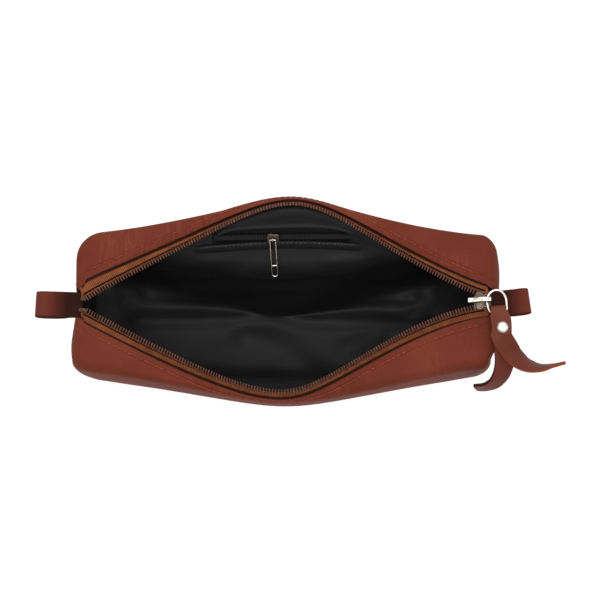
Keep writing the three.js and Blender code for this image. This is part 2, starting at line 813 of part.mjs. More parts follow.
function strapSection(centre, ahead, width, twist) {
  const level = new THREE.Vector3().crossVectors(ahead, new THREE.Vector3(0, 0, 1)).normalize();
  const above = new THREE.Vector3().crossVectors(level, ahead).normalize();
  const across = level.multiplyScalar(Math.cos(twist)).addScaledVector(above, Math.sin(twist));
  const normal = new THREE.Vector3().crossVectors(across, ahead).normalize();
  return [[1, 1], [-1, 1], [-1, -1], [1, -1]].map(([a, b]) => centre.clone()
    .addScaledVector(across, a * width / 2)
    .addScaledVector(normal, b * strapThickness / 2));
}

function tailSections(shares, layerZ) {
  const start = new THREE.Vector3(rivetX, rivetY - flatReach, layerZ);
  const places = [start, ...shares.map(([across, away, down]) => new THREE.Vector3(across, -away, -down)
    .multiplyScalar(tailLength)
    .applyAxisAngle(new THREE.Vector3(0, 1, 0), ringTilt)
    .add(start))];
  const curve = new THREE.CatmullRomCurve3(places, false, 'centripetal');
  return Array.from({ length: tailSteps }, (_, i) => {
    const share = (i + 1) / tailSteps;
    const at = share * (tailTwistShares.length - 1);
    const low = Math.min(Math.floor(at), tailTwistShares.length - 2);
    const turned = THREE.MathUtils.lerp(tailTwistShares[low], tailTwistShares[low + 1], at - low);
    return strapSection(curve.getPoint(share), curve.getTangent(share), strapWidth, turned * tailTwist);
  });
}

function strapLayers(sign) {
  const layerZ = rivetZ + sign * layerIn;
  const ahead = new THREE.Vector3(0, -1, 0);
  return [
    strapSection(new THREE.Vector3(foldX, foldY, sign * layerOut), ahead, strapNeckWidth, 0),
    strapSection(
      new THREE.Vector3(foldX, barY - ringWire / 2 - 2 * clearance, sign * layerOut),
      ahead,
      strapNeckWidth,
      0,
    ),
    strapSection(new THREE.Vector3(rivetX, rivetY + flatReach, layerZ), ahead, strapWidth, 0),
    strapSection(new THREE.Vector3(rivetX, rivetY - flatReach, layerZ), ahead, strapWidth, 0),
  ];
}

function buildStrap() {
  const lower = [...strapLayers(-1), ...tailSections(rearTailShares, rivetZ - layerIn)].reverse()
    .map((ring) => [ring[3], ring[2], ring[1], ring[0]]);
  const upper = [...strapLayers(1), ...tailSections(frontTailShares, rivetZ + layerIn)];
  // Round the bar the outer face stays outside
  const fold = Array.from({ length: foldTurns - 1 }, (_, i) => {
    const angle = Math.PI * (i + 1) / foldTurns;
    const outward = new THREE.Vector3(0, Math.sin(angle), -Math.cos(angle));
    const centre = new THREE.Vector3(foldX, foldY, 0).addScaledVector(outward, layerOut);
    return [[-1, 1], [1, 1], [1, -1], [-1, -1]].map(([a, b]) => centre.clone()
      .addScaledVector(outward, b * strapThickness / 2)
      .add(new THREE.Vector3(a * strapNeckWidth / 2, 0, 0)));
  });
  const strap = loft([...lower, ...fold, ...upper]);
  const holeRadius = rivetShank / 2 + clearance;
  const hole = new THREE.CylinderGeometry(holeRadius, holeRadius, cutOverrun, holeSides);
  hole.rotateX(Math.PI / 2).translate(rivetX, rivetY, rivetZ);
  addMesh('pull_strap', subtract(strap, hole), leather, ringGroup);
}

function turnedPiece(profile, low) {
  const lathe = new THREE.LatheGeometry(profile.map(([r, z]) => new THREE.Vector2(r, z)), roundSides);
  lathe.rotateX(Math.PI / 2).translate(rivetX, rivetY, low);
  return facingOut(weld(lathe));
}

function buildRivet() {
  const radius = rivetDiameter / 2;
  const halfStack = strapThickness + clearance / 2;
  const dome = domeShares.map(([out, up]) => [radius * out, rivetDome * up]);
  addMesh('rivet_cap', turnedPiece(dome, rivetZ + halfStack + clearance / 2), nickel, ringGroup);
  const shankTop = 2 * halfStack + rivetHead;
  const post = headShares.map(([out, up]) => [radius * out, rivetHead * up]);
  post.push([rivetShank / 2, rivetHead], [rivetShank / 2, shankTop], [0, shankTop]);
  const postLow = rivetZ - halfStack - rivetHead - clearance / 2;
  addMesh('rivet_post', turnedPiece(post, postLow), nickel, ringGroup);
}

// Each end loop is one strip folded on itself: two layers stitched at the root, open further out
function buildLoops() {
  const halfRoot = loopThickness;
  const outer = loopHeight / 2;
  const inner = outer - loopThickness;
  const nose = loopReach - outer;
  const ring = new THREE.Shape();
  ring.moveTo(0, -halfRoot);
  ring.lineTo(loopRoot, -halfRoot);
  ring.quadraticCurveTo(loopRoot * loopShares.outside, -outer, nose - loopRoot, -outer);
  ring.lineTo(nose, -outer);
  ring.absarc(nose, 0, outer, -Math.PI / 2, Math.PI / 2, false);
  ring.lineTo(nose - loopRoot, outer);
  ring.quadraticCurveTo(loopRoot * loopShares.outside, outer, loopRoot, halfRoot);
  ring.lineTo(0, halfRoot);
  const eye = new THREE.Path();
  eye.moveTo(loopRoot * loopShares.eye, 0);
  eye.quadraticCurveTo(loopRoot * loopShares.inside, inner, nose - loopRoot, inner);
  eye.lineTo(nose, inner);
  eye.absarc(nose, 0, inner, Math.PI / 2, -Math.PI / 2, true);
  eye.lineTo(nose - loopRoot, -inner);
  eye.quadraticCurveTo(
    loopRoot * loopShares.inside, -inner, loopRoot * loopShares.eye, 0,
  );
  ring.holes.push(eye);
  const rootX = bodyLength / 2 + endSkew * loopShares.skew + clearance;
  const loopZ = bodyHeight - endTopRadius - loopHeight / 2 - leatherWall / 2;
  [['right', 1], ['left', -1]].forEach(([name, side]) => {
    const loop = slabOf(ring, 0, 0, loopWidth, loopSegments).rotateX(Math.PI / 2);
    loop.translate(rootX, loopWidth / 2, loopZ);
    if (side < 0) {
      loop.rotateZ(Math.PI);
    }
    addMesh(`${name}_loop`, loop, darkLeather);
  });
}

// The pocket zip lies in its own sloping plane on the rear lining
const pocket = new THREE.Group();
pocket.position.set(pocketCentreX, pocketCentreY, pocketCentreZ);
pocket.rotation.x = pocketSlope;
pouch.add(pocket);

const pocketTapeTop = -pocketChainHeight / 2 - clearance;
const pocketPlateTop = pocketChainHeight / 2 + clearance;
const pocketPlateLow = pocketTapeTop - pocketTape - clearance;

function buildPocketZip() {
  const half = pocketLength / 2 - 2 * clearance;
  const chainHalf = half - pocketChainInset;
  [['upper', 1], ['lower', -1]].forEach(([name, side]) => {
    const frameAt = (share) => ({
      origin: new THREE.Vector3(
        THREE.MathUtils.lerp(-chainHalf, chainHalf, share),
        side * (pocketHalfGap + pocketChainWidth / 2),
        0,
      ),
      outward: new THREE.Vector3(0, side, 0),
      up: new THREE.Vector3(0, 0, 1),
    });
    const teeth = Math.round(2 * chainHalf / pocketPitch);
    const top = pocketChainHeight / 2;
    const chain = comb(frameAt, teeth, pocketChainWidth, -top, top);
    addMesh(`pocket_${name}_chain`, chain, darkCoil, pocket);
    const near = side * (pocketHalfGap + pocketChainWidth / 3);
    const far = side * (pocketOpening / 2 + pocketTapeLap);
    addMesh(`pocket_${name}_tape`, block(
      new THREE.Vector3(-half, Math.min(near, far), pocketTapeTop - pocketTape),
      new THREE.Vector3(half, Math.max(near, far), pocketTapeTop),
    ), darkCloth, pocket);
  });
}

const pullHingeZ = pocketPlateTop + pocketPlate + pocketLugHeight / 2;

function buildPocketSlider() {
  const body = sliderSolid({
    x: pocketSliderX - pocketSliderLength / 2,
    length: pocketSliderLength,
    front: pocketSliderWidth,
    rear: pocketSliderWidth * pocketRearShare,
    plate: pocketPlate,
    lip: clearance / 2,
    lipWidth: pocketPlate,
    wedge: 2 * pocketHalfGap - 2 * clearance,
    wedgeLength: pocketSliderLength / 3,
    channelTop: pocketPlateTop,
    channelLow: pocketPlateLow,
    segments: pocketSegments,
  });
  const lugX = pocketLugWidth / 2;
  const lugY = pocketLugLength / 2;
  const lugTop = pocketPlateTop + pocketPlate + pocketLugHeight;
  const lug = block(
    new THREE.Vector3(pocketSliderX - lugX, -lugY, pocketPlateTop + pocketPlate / 2),
    new THREE.Vector3(pocketSliderX + lugX, lugY, lugTop),
  );
  const boreRadius = pullWire / 2 + clearance;
  const bore = new THREE.CylinderGeometry(boreRadius, boreRadius, 2 * pocketLugWidth, boreSides);
  bore.rotateZ(Math.PI / 2).translate(pocketSliderX, 0, pullHingeZ);
  addMesh('pocket_slider', subtract(unite(body, lug), bore), nickel, pocket);
}

// The pocket pull is a long frame with a crossbar, lying down the slope of the lining
function buildPocketPull() {
  const innerHalf = pocketLugWidth / 2 + clearance;
  const outerHalf = innerHalf + pullWire;
  const nose = -pullLength + outerHalf;
  const crossbar = -pullLength * pullCrossbarShare;
  const frame = new THREE.Shape();
  frame.moveTo(-outerHalf, pullWire / 2);
  frame.lineTo(outerHalf, pullWire / 2);
  frame.lineTo(outerHalf, nose);
  frame.absarc(0, nose, outerHalf, 0, -Math.PI, true);
  frame.lineTo(-outerHalf, pullWire / 2);
  const upper = new THREE.Path();
  upper.moveTo(-innerHalf, -pullWire / 2);
  upper.lineTo(-innerHalf, crossbar + pullWire / 2);
  upper.lineTo(innerHalf, crossbar + pullWire / 2);
  upper.lineTo(innerHalf, -pullWire / 2);
  const lower = new THREE.Path();
  lower.moveTo(-innerHalf, crossbar - pullWire / 2);
  lower.lineTo(-innerHalf, nose);
  lower.absarc(0, nose, innerHalf, Math.PI, 2 * Math.PI, false);
  lower.lineTo(innerHalf, crossbar - pullWire / 2);
  frame.holes.push(upper, lower);
  const pull = slabOf(frame, 0, -pullWire / 2, pullWire, pullSegments).rotateX(pullDroop);
  addMesh('pocket_pull', pull.translate(pocketSliderX, 0, pullHingeZ), nickel, pocket);
}

// The pocket's bag hangs flat behind the lining, open at its top
function buildPocketBag() {
  const half = pocketLength / 2 - clearance;
  const back = pocketCentreY - bagThickness;
  const low = new THREE.Vector3(pocketCentreX - half, back, bagTop - bagDepth);
  const high = new THREE.Vector3(pocketCentreX + half, pocketCentreY, bagTop);
  const wall = new THREE.Vector3(bagWall, bagWall, bagWall);
  const hollow = block(low.clone().add(wall), high.clone().sub(wall).setZ(bagTop + cutOverrun));
  addMesh('pocket_bag', subtract(block(low, high), hollow), darkCloth);
}

function buildPouch() {
  buildLeather();
  buildLining();
  buildZip();
  buildSlider();
  buildRing();
  buildStrap();
  buildRivet();
  buildLoops();
  buildPocketZip();
  buildPocketSlider();
  buildPocketPull();
  buildPocketBag();
}

buildPouch();

export default pouch;
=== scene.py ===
"""A brown leather zip pouch, standing open on its base. Every size is in millimetres and becomes metres as it
goes into a mesh. +X runs along the zip to the end with the slider, +Y to the rear and +Z up."""

import math

import bpy
from mathutils import Matrix, Vector, noise


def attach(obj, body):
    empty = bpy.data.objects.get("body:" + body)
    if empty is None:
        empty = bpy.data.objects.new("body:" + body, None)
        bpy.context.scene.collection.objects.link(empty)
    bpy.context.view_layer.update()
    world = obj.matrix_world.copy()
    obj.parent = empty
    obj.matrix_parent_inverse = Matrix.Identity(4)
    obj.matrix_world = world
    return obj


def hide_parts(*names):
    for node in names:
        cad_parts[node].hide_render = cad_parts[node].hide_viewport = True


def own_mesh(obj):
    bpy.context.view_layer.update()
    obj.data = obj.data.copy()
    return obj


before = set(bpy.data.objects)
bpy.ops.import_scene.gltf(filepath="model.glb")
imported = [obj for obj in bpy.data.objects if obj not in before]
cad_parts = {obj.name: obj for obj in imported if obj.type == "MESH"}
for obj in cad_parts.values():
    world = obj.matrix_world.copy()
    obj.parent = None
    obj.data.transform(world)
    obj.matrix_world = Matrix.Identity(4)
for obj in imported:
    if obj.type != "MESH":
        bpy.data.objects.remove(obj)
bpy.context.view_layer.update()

MM = 0.001
UP = Vector((0, 0, 1))
# Points closer than this, in metres, become one. The empty ends of a shell need a little more
WELD = 1e-6
END_WELD = 5e-6

# The body and the rim of its mouth
BODY_LENGTH = 209.4
BODY_WIDTH = 66
BODY_HEIGHT = 61
LEATHER = 1.2
MOUTH_HALF_LENGTH = 101
MOUTH_HALF_WIDTH = 47
ZIP_END_Y = 2.7
RIM_RISE = 17
PEAK_SHARE = 0.25
RISE_POWER = 2.5
# How quickly each quarter of the mouth opens, by end and side
FULLNESS = {(-1, 1): 0.91, (1, 1): 1.2, (-1, -1): 1.0, (1, -1): 1.6}
# How far from the middle each side of the mouth has its peak
PEAK_X = {1: 3.5, -1: -2.0}
BAND_TILT = (math.radians(4), math.radians(55))
RIM_SAMPLES = 2000
# From the middle of the coil to the leather's edge, how far that stands off at the left of the rear, and how
# far it closes at the ends
LEATHER_EDGE = 5.4
EDGE_STANDS_OFF = 2.6
EDGE_CLOSES = 1.8
SEAM_FROM_EDGE = 3.8
SHOULDER_SPREAD = {1: 21.2, -1: 19}
SHOULDER_POWER = {1: 1.5, -1: 1.35}
SHOULDER_RISE = 5
SHOULDER_RADIUS = 8
BASE_RADIUS = 5
BAND_CROWN = 1
FOOT_PINCH = 2.6
WALL_HEIGHT = 30
CORNER_TOP = 2.6
CORNER_BASE = 4
# Each quarter of the body, by end and side: how far its corner comes in, how far along the body that starts,
# how far its end leans out at the top, and how far its end wall bulges
CORNER_IN = {(-1, 1): 11.5, (1, 1): 7, (-1, -1): 4.5, (1, -1): 6}
CORNER_ALONG = {(-1, 1): 12, (1, 1): 6, (-1, -1): 8, (1, -1): 7}
END_LEAN = {(-1, 1): -0.9, (-1, -1): -1.2, (1, 1): 0.6, (1, -1): 0.2}
END_BULGE = {(-1, 1): 1.0, (-1, -1): 5.5, (1, 1): 6.0, (1, -1): 3.0}
MIDDLE_BULGE = {-1: 0.8, 1: 4.0}
# By side: how far the wall bulges with the open mouth
WALL_BULGE = {1: 9, -1: 14.3}
# By end and side: how far the shoulder stands out where the mouth is narrow
SHOULDER_OUT = {(-1, 1): 5.2, (1, 1): 2.3, (-1, -1): 0.4, (1, -1): 0.4}
# The end loops pass over a notch in the top of the end walls
NOTCH = 55.8
# The ends lean from this far from the middle, over this length, and softly across this much of the width
LEAN_FROM = 60
LEAN_OVER = 45
LEAN_SOFT = 9
# The folded right front corner: where its fold and the foot below it are, and how far they spread
DENT = ((106, -29, 42), (7, 3.8, 14))
DENT_FOOT = ((106, -25, 9), (8, 8, 8))
# The two hides and the two halves of the lining stop this far from the middle of the body
HIDE_MIDDLE = 0.15
LINING_MIDDLE = 0.0

# The zip
TOOTH_PITCH = 1.5
TOOTH_LENGTH = 3.0
COIL_WIRE = 0.36
COIL_THREAD = 0.42
STITCH_WIRE = 0.36
# Where along the mouth each row begins and ends, and how far apart its places are
SEAM_ROW = (-97, 96, 3.0)
TAPE_ROW = (-103, 102, 0.8)
COIL_ROW = (-100.4, 99, TOOTH_PITCH)
THREAD_ROW = (-102, 99.5, 1.6)
# The tape begins this far out, and further by the second value where the mouth is open. Its inner and its
# outer edge rise by its lifts
TAPE_FROM = (0.9, 0.3)
TAPE_LIFTS = (0.6, 0.3)
TAPE_SAG = 0.35
TAPE_STEPS = 7
TAPE_TOP = -1.85
TAPE = 0.5
TAPE_LAP = 1.6
# The tape darkens over this width short of the leather's edge, as painted shadow of that edge
TAPE_SHADOW_WIDTH = 0.4

# The lining
LINING_INSET = 1.7
LINING_EDGE = 4.7
LINING_UNDER = 3.55
LINING_SAG = 2.2
LINING_RADIUS = 13
CLOTH = 0.4
# By side: how far the cloth comes in and drops at the shoulder, and comes in at the wall and at the foot
LINING_FOLD = {1: (14.5, 8, 18, 26), -1: (-9, 0, -4, 0)}

# Each slider: its front, its length, the widths of its wings and of its rear, the room for the coils, its
# plates, and the width and the length of its wedge
MAIN_SLIDER = (93.9, 8.6, (9.6, 6.6), (56.95, 62.0), 0.9, (1.8, 3.2))
POCKET_SLIDER = (-8.3, 6.6, (6.2, 4.96), (-1.5, 0.8), 0.7, (1.6, 2.2))
# The crown on the main slider
CROWN_FRONT = 90.6
CROWN_LOW = 63.2
CROWN_LENGTH = 12.9
CROWN_TONGUE = 3.3
CROWN_PLATE = 0.9
CROWN_HALF = 1.2
CROWN_HEIGHTS = (3.0, 3.9)

# The ring in the crown and the strap on the ring
TUNNEL = Vector((99.852, 0, 64.85))
RING_TILT = math.radians(9)
RING_HALF = (4.8, 5.95)
RING_FORWARD = 1.35
RING_WIRE = 1.25
RING_STEPS = 72
BAR_Y = -7.3
STRAP = 1.3
STRAP_WIDTH = 10
STRAP_NECK = 7.2
NECK_SPREAD = 8.0
NECK_X = 5.65
FOLD_Y = -5.45
TAIL_LENGTH = 40
RIVET = Vector((7.5, -14.6, 1.2))
RIVET_DIAMETER = 6
STRAP_X = RIVET.x - 0.7
FLAT_REACH = RIVET_DIAMETER / 2 + 0.3
LAYER_OUT = RING_WIRE / 2 + 0.3 + STRAP / 2
LAYER_IN = 0.15 + STRAP / 2

# The end loops
LOOP_WIDTH = 12.8
LOOP_HALF_GAP = 4.3 - STRAP / 2
LOOP_REACH = 14.6
LOOP_FROM_MIDDLE = 102.84
LOOP_HEIGHT = 53.5
# By end: how far each lies to the rear, how it turns, and how much further out it reaches
LOOP_PLACE = {1: (-1.2, math.radians(6.5), -0.6), -1: (0.4, math.radians(-2.5), 2.8)}

# The zipped pocket on the rear lining
POCKET = Matrix.Translation((-2, 32.1, 60.55)) @ Matrix.Rotation(math.radians(36.87), 4, "X")
POCKET = POCKET @ Matrix.Translation((0.5, 1.2, 0))
POCKET_HALF = 35.4
POCKET_TEETH = 46
POCKET_COIL_OUT = 1.95
POCKET_COIL_WIRE = 0.28
POCKET_TAPE_OUT = 1.67
POCKET_TAPE_WIDTH = 3.7
POCKET_TAPE_UNDER = 0.8
POCKET_STITCH_WIRE = 0.17
WELT = 0.35
PULL_X = -5
PULL_REACH = 19.8
PULL_HALF_WIDTH = 1.4
PULL_WIRE = 0.42


# Making meshes


def only(piece):
    """Deselects all else, and makes this piece the one that operators act on."""
    bpy.ops.object.select_all(action="DESELECT")
    piece.select_set(True)
    bpy.context.view_layer.objects.active = piece
    return piece


def edit(piece, *steps):
    """Runs edit-mode operators on the whole mesh of a piece."""
    only(piece)
    bpy.ops.object.mode_set(mode="EDIT")
    bpy.ops.mesh.select_all(action="SELECT")
    for step in steps:
        step()
    bpy.ops.object.mode_set(mode="OBJECT")
    return piece


def modify(piece, kind, **settings):
    """Adds a modifier with its settings, and applies it."""
    only(piece)
    modifier = piece.modifiers.new(kind.title(), kind)
    for name, value in settings.items():
        setattr(modifier, name, value)
    bpy.ops.object.modifier_apply(modifier=modifier.name)
    return piece


def thicken(piece, thickness, offset=-1, **settings):
    return modify(piece, "SOLIDIFY", thickness=thickness * MM, offset=offset, **settings)


def round_edges(piece, width, segments, angle):
    limit = {"limit_method": "ANGLE", "angle_limit": math.radians(angle)}
    return modify(piece, "BEVEL", width=width * MM, segments=segments, **limit)


def named(name):
    piece = bpy.context.object
    piece.name = name
    piece.data.name = name
    return piece


def give(piece, *finishes):
    for each in finishes:
        piece.data.materials.append(each)


def second_finish(piece, chosen):
    """Gives the second material to the chosen faces, and the first one to the rest."""
    for face in piece.data.polygons:
        face.material_index = int(chosen(face))


def lofted(name, rings, measures=None, finish_of=None, left_out=None):
    """A grid through rings of equally many points. measures holds the place of each point in the pattern, in
    mm, finish_of gives the material of each column, and left_out tells which faces aren't made."""
    rows = len(rings) - 1
    columns = len(rings[0]) - 1
    bpy.ops.object.select_all(action="DESELECT")
    bpy.ops.mesh.primitive_grid_add(x_subdivisions=columns, y_subdivisions=rows, size=1)
    piece = named(name)
    mesh = piece.data
    cells = [(round((v.co.y + 0.5) * rows), round((v.co.x + 0.5) * columns)) for v in mesh.vertices]
    for vertex, (i, j) in zip(mesh.vertices, cells):
        vertex.co = rings[i][j] * MM
    if measures:
        layer = mesh.uv_layers.active.data
        for loop in mesh.loops:
            i, j = cells[loop.vertex_index]
            layer[loop.index].uv = measures[i][j]
    if finish_of:
        for face in mesh.polygons:
            face.material_index = finish_of(min(cells[k][1] for k in face.vertices))
    if left_out:
        corners = [[cells[k] for k in face.vertices] for face in mesh.polygons]
        chosen = [left_out(min(i for i, j in found), min(j for i, j in found)) for found in corners]
        mesh.polygons.foreach_set("select", chosen)
        bpy.context.tool_settings.mesh_select_mode = (False, False, True)
        bpy.ops.object.mode_set(mode="EDIT")
        bpy.ops.mesh.delete(type="FACE")
        bpy.ops.object.mode_set(mode="OBJECT")
        bpy.context.tool_settings.mesh_select_mode = (True, False, False)
        edit(piece, lambda: bpy.ops.mesh.remove_doubles(threshold=END_WELD))
    return piece


def running_lengths(points):
    """How far along the points each of them lies."""
    lengths = [0.0]
    for a, b in zip(points, points[1:]):
        lengths.append(lengths[-1] + (b - a).length)
    return lengths


def pattern_of(rings, column=None):
    """The place of each point on the flat sheet, in mm: along one column, the middle one unless another is
    named, and across from the first column."""
    if column is None:
        column = len(rings[0]) // 2
    alongs = running_lengths([ring[column] for ring in rings])
    return [[(along, across) for across in running_lengths(ring)] for along, ring in zip(alongs, rings)]


def flip(piece):
    return edit(piece, bpy.ops.mesh.flip_normals)


def outward(piece):
    return edit(piece, lambda: bpy.ops.mesh.normals_make_consistent(inside=False))


def merge(piece):
    return outward(edit(piece, lambda: bpy.ops.mesh.remove_doubles(threshold=WELD)))


def smooth(piece, angle=None):
    only(piece)
    if angle is None:
        bpy.ops.object.shade_smooth()
    else:
        bpy.ops.object.shade_smooth_by_angle(angle=math.radians(angle))
    return piece


def moved(piece, matrix):
    """Moves the points of a mesh by a matrix in mm."""
    shift = Matrix.Translation(matrix.to_translation() * MM)
    turn = matrix.to_3x3().to_4x4()
    piece.data.transform(shift @ turn)
    return piece


def strip(name, rings, side, thickness, finish_of=None):
    """A strip of cloth with its face up, on either side of a zip."""
    piece = lofted(name, rings, pattern_of(rings), finish_of)
    if side < 0:
        flip(piece)
    return thicken(piece, thickness)


def plate(name, outline, low, high, bevel, segments=2, sunk=None):
    """A flat plate of this outline between two heights, with rounded edges. sunk is the width of the rim
    round its upper face and the depth inside it, which takes the second material."""
    bpy.ops.object.select_all(action="DESELECT")
    bpy.ops.mesh.primitive_circle_add(vertices=len(outline), radius=1, fill_type="NGON")
    piece = named(name)
    for vertex, (x, y) in zip(piece.data.vertices, outline):
        vertex.co = Vector((x, y, low)) * MM
    rise = {"value": (0, 0, (high - low) * MM)}
    outward(edit(piece, lambda: bpy.ops.mesh.extrude_region_move(TRANSFORM_OT_translate=rise)))
    if sunk:
        upper = max(piece.data.polygons, key=lambda face: face.center.z)
        for face in piece.data.polygons:
            face.select = face == upper
        only(piece)
        bpy.ops.object.mode_set(mode="EDIT")
        bpy.ops.mesh.select_mode(type="FACE")
        bpy.ops.mesh.inset(thickness=sunk[0] * MM, depth=0)
        bpy.ops.mesh.inset(thickness=0.1 * MM, depth=-sunk[1] * MM)
        bpy.ops.mesh.select_mode(type="VERT")
        bpy.ops.object.mode_set(mode="OBJECT")
        second_finish(piece, lambda face: face.select)
    return smooth(round_edges(piece, bevel, segments, 40), 40)


def tube(name, path, radius, sides=12, closed=False, up=UP):
    """A round wire along a path. A closed one joins on itself, and an open one gets rounded ends."""
    radii = [radius] * len(path)
    if not closed:
        radii = [radius * s for s in (0.05, 0.6, 0.9)] + radii + [radius * s for s in (0.9, 0.6, 0.05)]
        first = (path[0] - path[1]).normalized() * radius
        last = (path[-1] - path[-2]).normalized() * radius
        start = [path[0] + first * s for s in (1, 0.8, 0.4)]
        end = [path[-1] + last * s for s in (0.4, 0.8, 1)]
        path = start + list(path) + end
    count = len(path)
    angles = [2 * math.pi * j / sides for j in range(sides + 1)]
    rings = []
    for i in range(count + 1 if closed else count):
        before, after = (path[(i - 1) % count], path[(i + 1) % count]) if closed else beside(path, i)
        ahead = (after - before).normalized()
        across = ahead.cross(up).normalized()
        above = across.cross(ahead)
        size = radii[i % count]
        here = path[i % count]
        rings.append([here + across * size * math.cos(a) + above * size * math.sin(a) for a in angles])
    piece = lofted(name, rings)
    if not closed:
        edit(piece, lambda: bpy.ops.mesh.remove_doubles(threshold=WELD), cap_ends)
    return smooth(merge(piece), 50)


def cap_ends():
    """Fills the open ends of the mesh that is being edited."""
    bpy.ops.mesh.select_all(action="DESELECT")
    bpy.ops.mesh.select_mode(type="EDGE")
    bpy.ops.mesh.select_non_manifold(extend=False)
    bpy.ops.mesh.fill_holes(sides=0)
    bpy.ops.mesh.select_mode(type="VERT")
    bpy.ops.mesh.select_all(action="SELECT")


def turned(name, profile, segments=40):
    """A round piece, turned about its own upright axis from a profile of radii and heights."""
    angles = [2 * math.pi * i / segments for i in range(segments + 1)]
    rings = [[Vector((r * math.cos(a), r * math.sin(a), z)) for r, z in profile] for a in angles]
    return smooth(merge(lofted(name, rings)), 50)


def joined(name, pieces):
    """One piece from several."""
    only(pieces[0])
    for piece in pieces:
        piece.select_set(True)
    bpy.ops.object.join()
    return named(name)


def copies(name, model, places):
    """Copies of one small model at many places in mm, joined into one piece."""
    made = []
    for place in places:
        piece = model.copy()
        piece.data = model.data.copy()
        bpy.context.collection.objects.link(piece)
        moved(piece, place)
        made.append(piece)
    bpy.data.objects.remove(model)
    return joined(name, made)


# Paths and directions


def spots(*places):
    return [Vector(place) for place in places]


def beside(points, i):
    """The points before and after this one, or this one itself at an end."""
    return points[max(i - 1, 0)], points[min(i + 1, len(points) - 1)]


def limited(share):
    return min(max(share, 0), 1)


def eased(share):
    """A share that starts and stops gently, kept within 0 and 1."""
    share = limited(share)
    return share * share * (3 - 2 * share)


def curve(start, control, end, steps):
    """Points of a smooth bend from start to end, pulled towards control, without the first."""
    found = []
    for k in range(1, steps + 1):
        t = k / steps
        found.append(start.lerp(control, t).lerp(control.lerp(end, t), t))
    return found


def bend(path, control, end, steps):
    """Carries a path on by a smooth bend."""
    path += curve(path[-1], Vector(control), Vector(end), steps)


def through(places, share):
    """The point at this share of a smooth path through the places, and the direction there."""
    at = share * (len(places) - 1)
    i = min(int(at), len(places) - 2)
    w = at - i
    here, ahead = places[i], places[i + 1]
    before = places[i - 1] if i else here * 2 - ahead
    beyond = places[i + 2] if i + 2 < len(places) else ahead * 2 - here
    spans = ((before, here), (here, ahead), (ahead, beyond))
    first, own, last = [math.sqrt(max((b - a).length, 1e-6)) for a, b in spans]
    leave = ((here - before) / first - (ahead - before) / (first + own) + (ahead - here) / own) * own
    arrive = ((ahead - here) / own - (beyond - here) / (own + last) + (beyond - ahead) / last) * own
    a = here * 2 - ahead * 2 + leave + arrive
    b = ahead * 3 - here * 3 - leave * 2 - arrive
    point = here + (leave + (b + a * w) * w) * w
    direction = leave + (b * 2 + a * 3 * w) * w
    return point, direction.normalized()


def between_stops(values, share):
    """Which two of the values a share lies between, and how far it lies past the first of them."""
    at = share * (len(values) - 1)
    low = min(int(at), len(values) - 2)
    return values[low], values[low + 1], at - low


def axes(origin, x_axis, y_axis, z_axis):
    """A place and three directions as one matrix."""
    made = Matrix((x_axis, y_axis, z_axis)).transposed().to_4x4()
    made.translation = origin
    return made


# Nodes of the materials


def linear(hex_colour):
    """An sRGB hex colour as the linear colour that a shader takes."""
    parts = [int(hex_colour[i : i + 2], 16) / 255 for i in (1, 3, 5)]
    return [p / 12.92 if p <= 0.04045 else ((p + 0.055) / 1.055) ** 2.4 for p in parts] + [1.0]


def feed(tree, socket, value):
    """Links a socket to another one, or sets its constant."""
    if isinstance(value, bpy.types.NodeSocket):
        tree.links.new(value, socket)
    else:
        socket.default_value = value


def feed_all(tree, node, inputs):
    """An input named i0, i1 and so on is meant by its number, and any other by its name."""
    for name, value in inputs.items():
        key = int(name[1:]) if name[0] == "i" and name[1:].isdigit() else name.replace("_", " ")
        feed(tree, node.inputs[key], value)


def add(tree, kind, settings=None, **inputs):
    """Adds a node."""
    made = tree.nodes.new("ShaderNode" + kind)
    for name, value in (settings or {}).items():
        setattr(made, name, value)
    feed_all(tree, made, inputs)
    return made


def maths(tree, operation, *values):
    made = add(tree, "Math", {"operation": operation})
    for socket, value in zip(made.inputs, values):
        feed(tree, socket, value)
    return made.outputs[0]


def times(tree, first, second):
    return maths(tree, "MULTIPLY", first, second)


def times_plus(tree, value, factor, more):
    return maths(tree, "MULTIPLY_ADD", value, factor, more)


def clamped(tree, value):
    return maths(tree, "MINIMUM", maths(tree, "MAXIMUM", value, 0.0), 1.0)


def in_millimetres(tree, scale=(1, 1, 1)):
    """Object coordinates in mm, stretched."""
    place = add(tree, "TexCoord").outputs["Object"]
    return add(tree, "Mapping", Vector=place, Scale=tuple(1000 * s for s in scale)).outputs[0]


def part_of(tree, vector, index):
    return add(tree, "SeparateXYZ", i0=vector).outputs[index]


def clouds_of(tree, place, size, **settings):
    """Soft noise whose patches are this many mm across."""
    return add(tree, "TexNoise", Vector=place, Scale=1 / size, **settings).outputs[0]


def bumped(tree, height, strength, distance):
    return add(tree, "Bump", Height=height, Strength=strength, Distance=distance).outputs[0]


def ramp(tree, factor, *stops):
    made = add(tree, "ValToRGB", i0=factor)
    for element, (position, colour) in zip(made.color_ramp.elements, (stops[0], stops[-1])):
        element.position = position
        element.color = linear(colour)
    for position, colour in stops[1:-1]:
        made.color_ramp.elements.new(position).color = linear(colour)
    return made.outputs[0]


def material(name):
    made = bpy.data.materials.new(name)
    made.use_nodes = True
    tree = made.node_tree
    tree.nodes.clear()
    shader = add(tree, "BsdfPrincipled")
    add(tree, "OutputMaterial", i0=shader.outputs[0])
    return made, tree, shader


# Materials


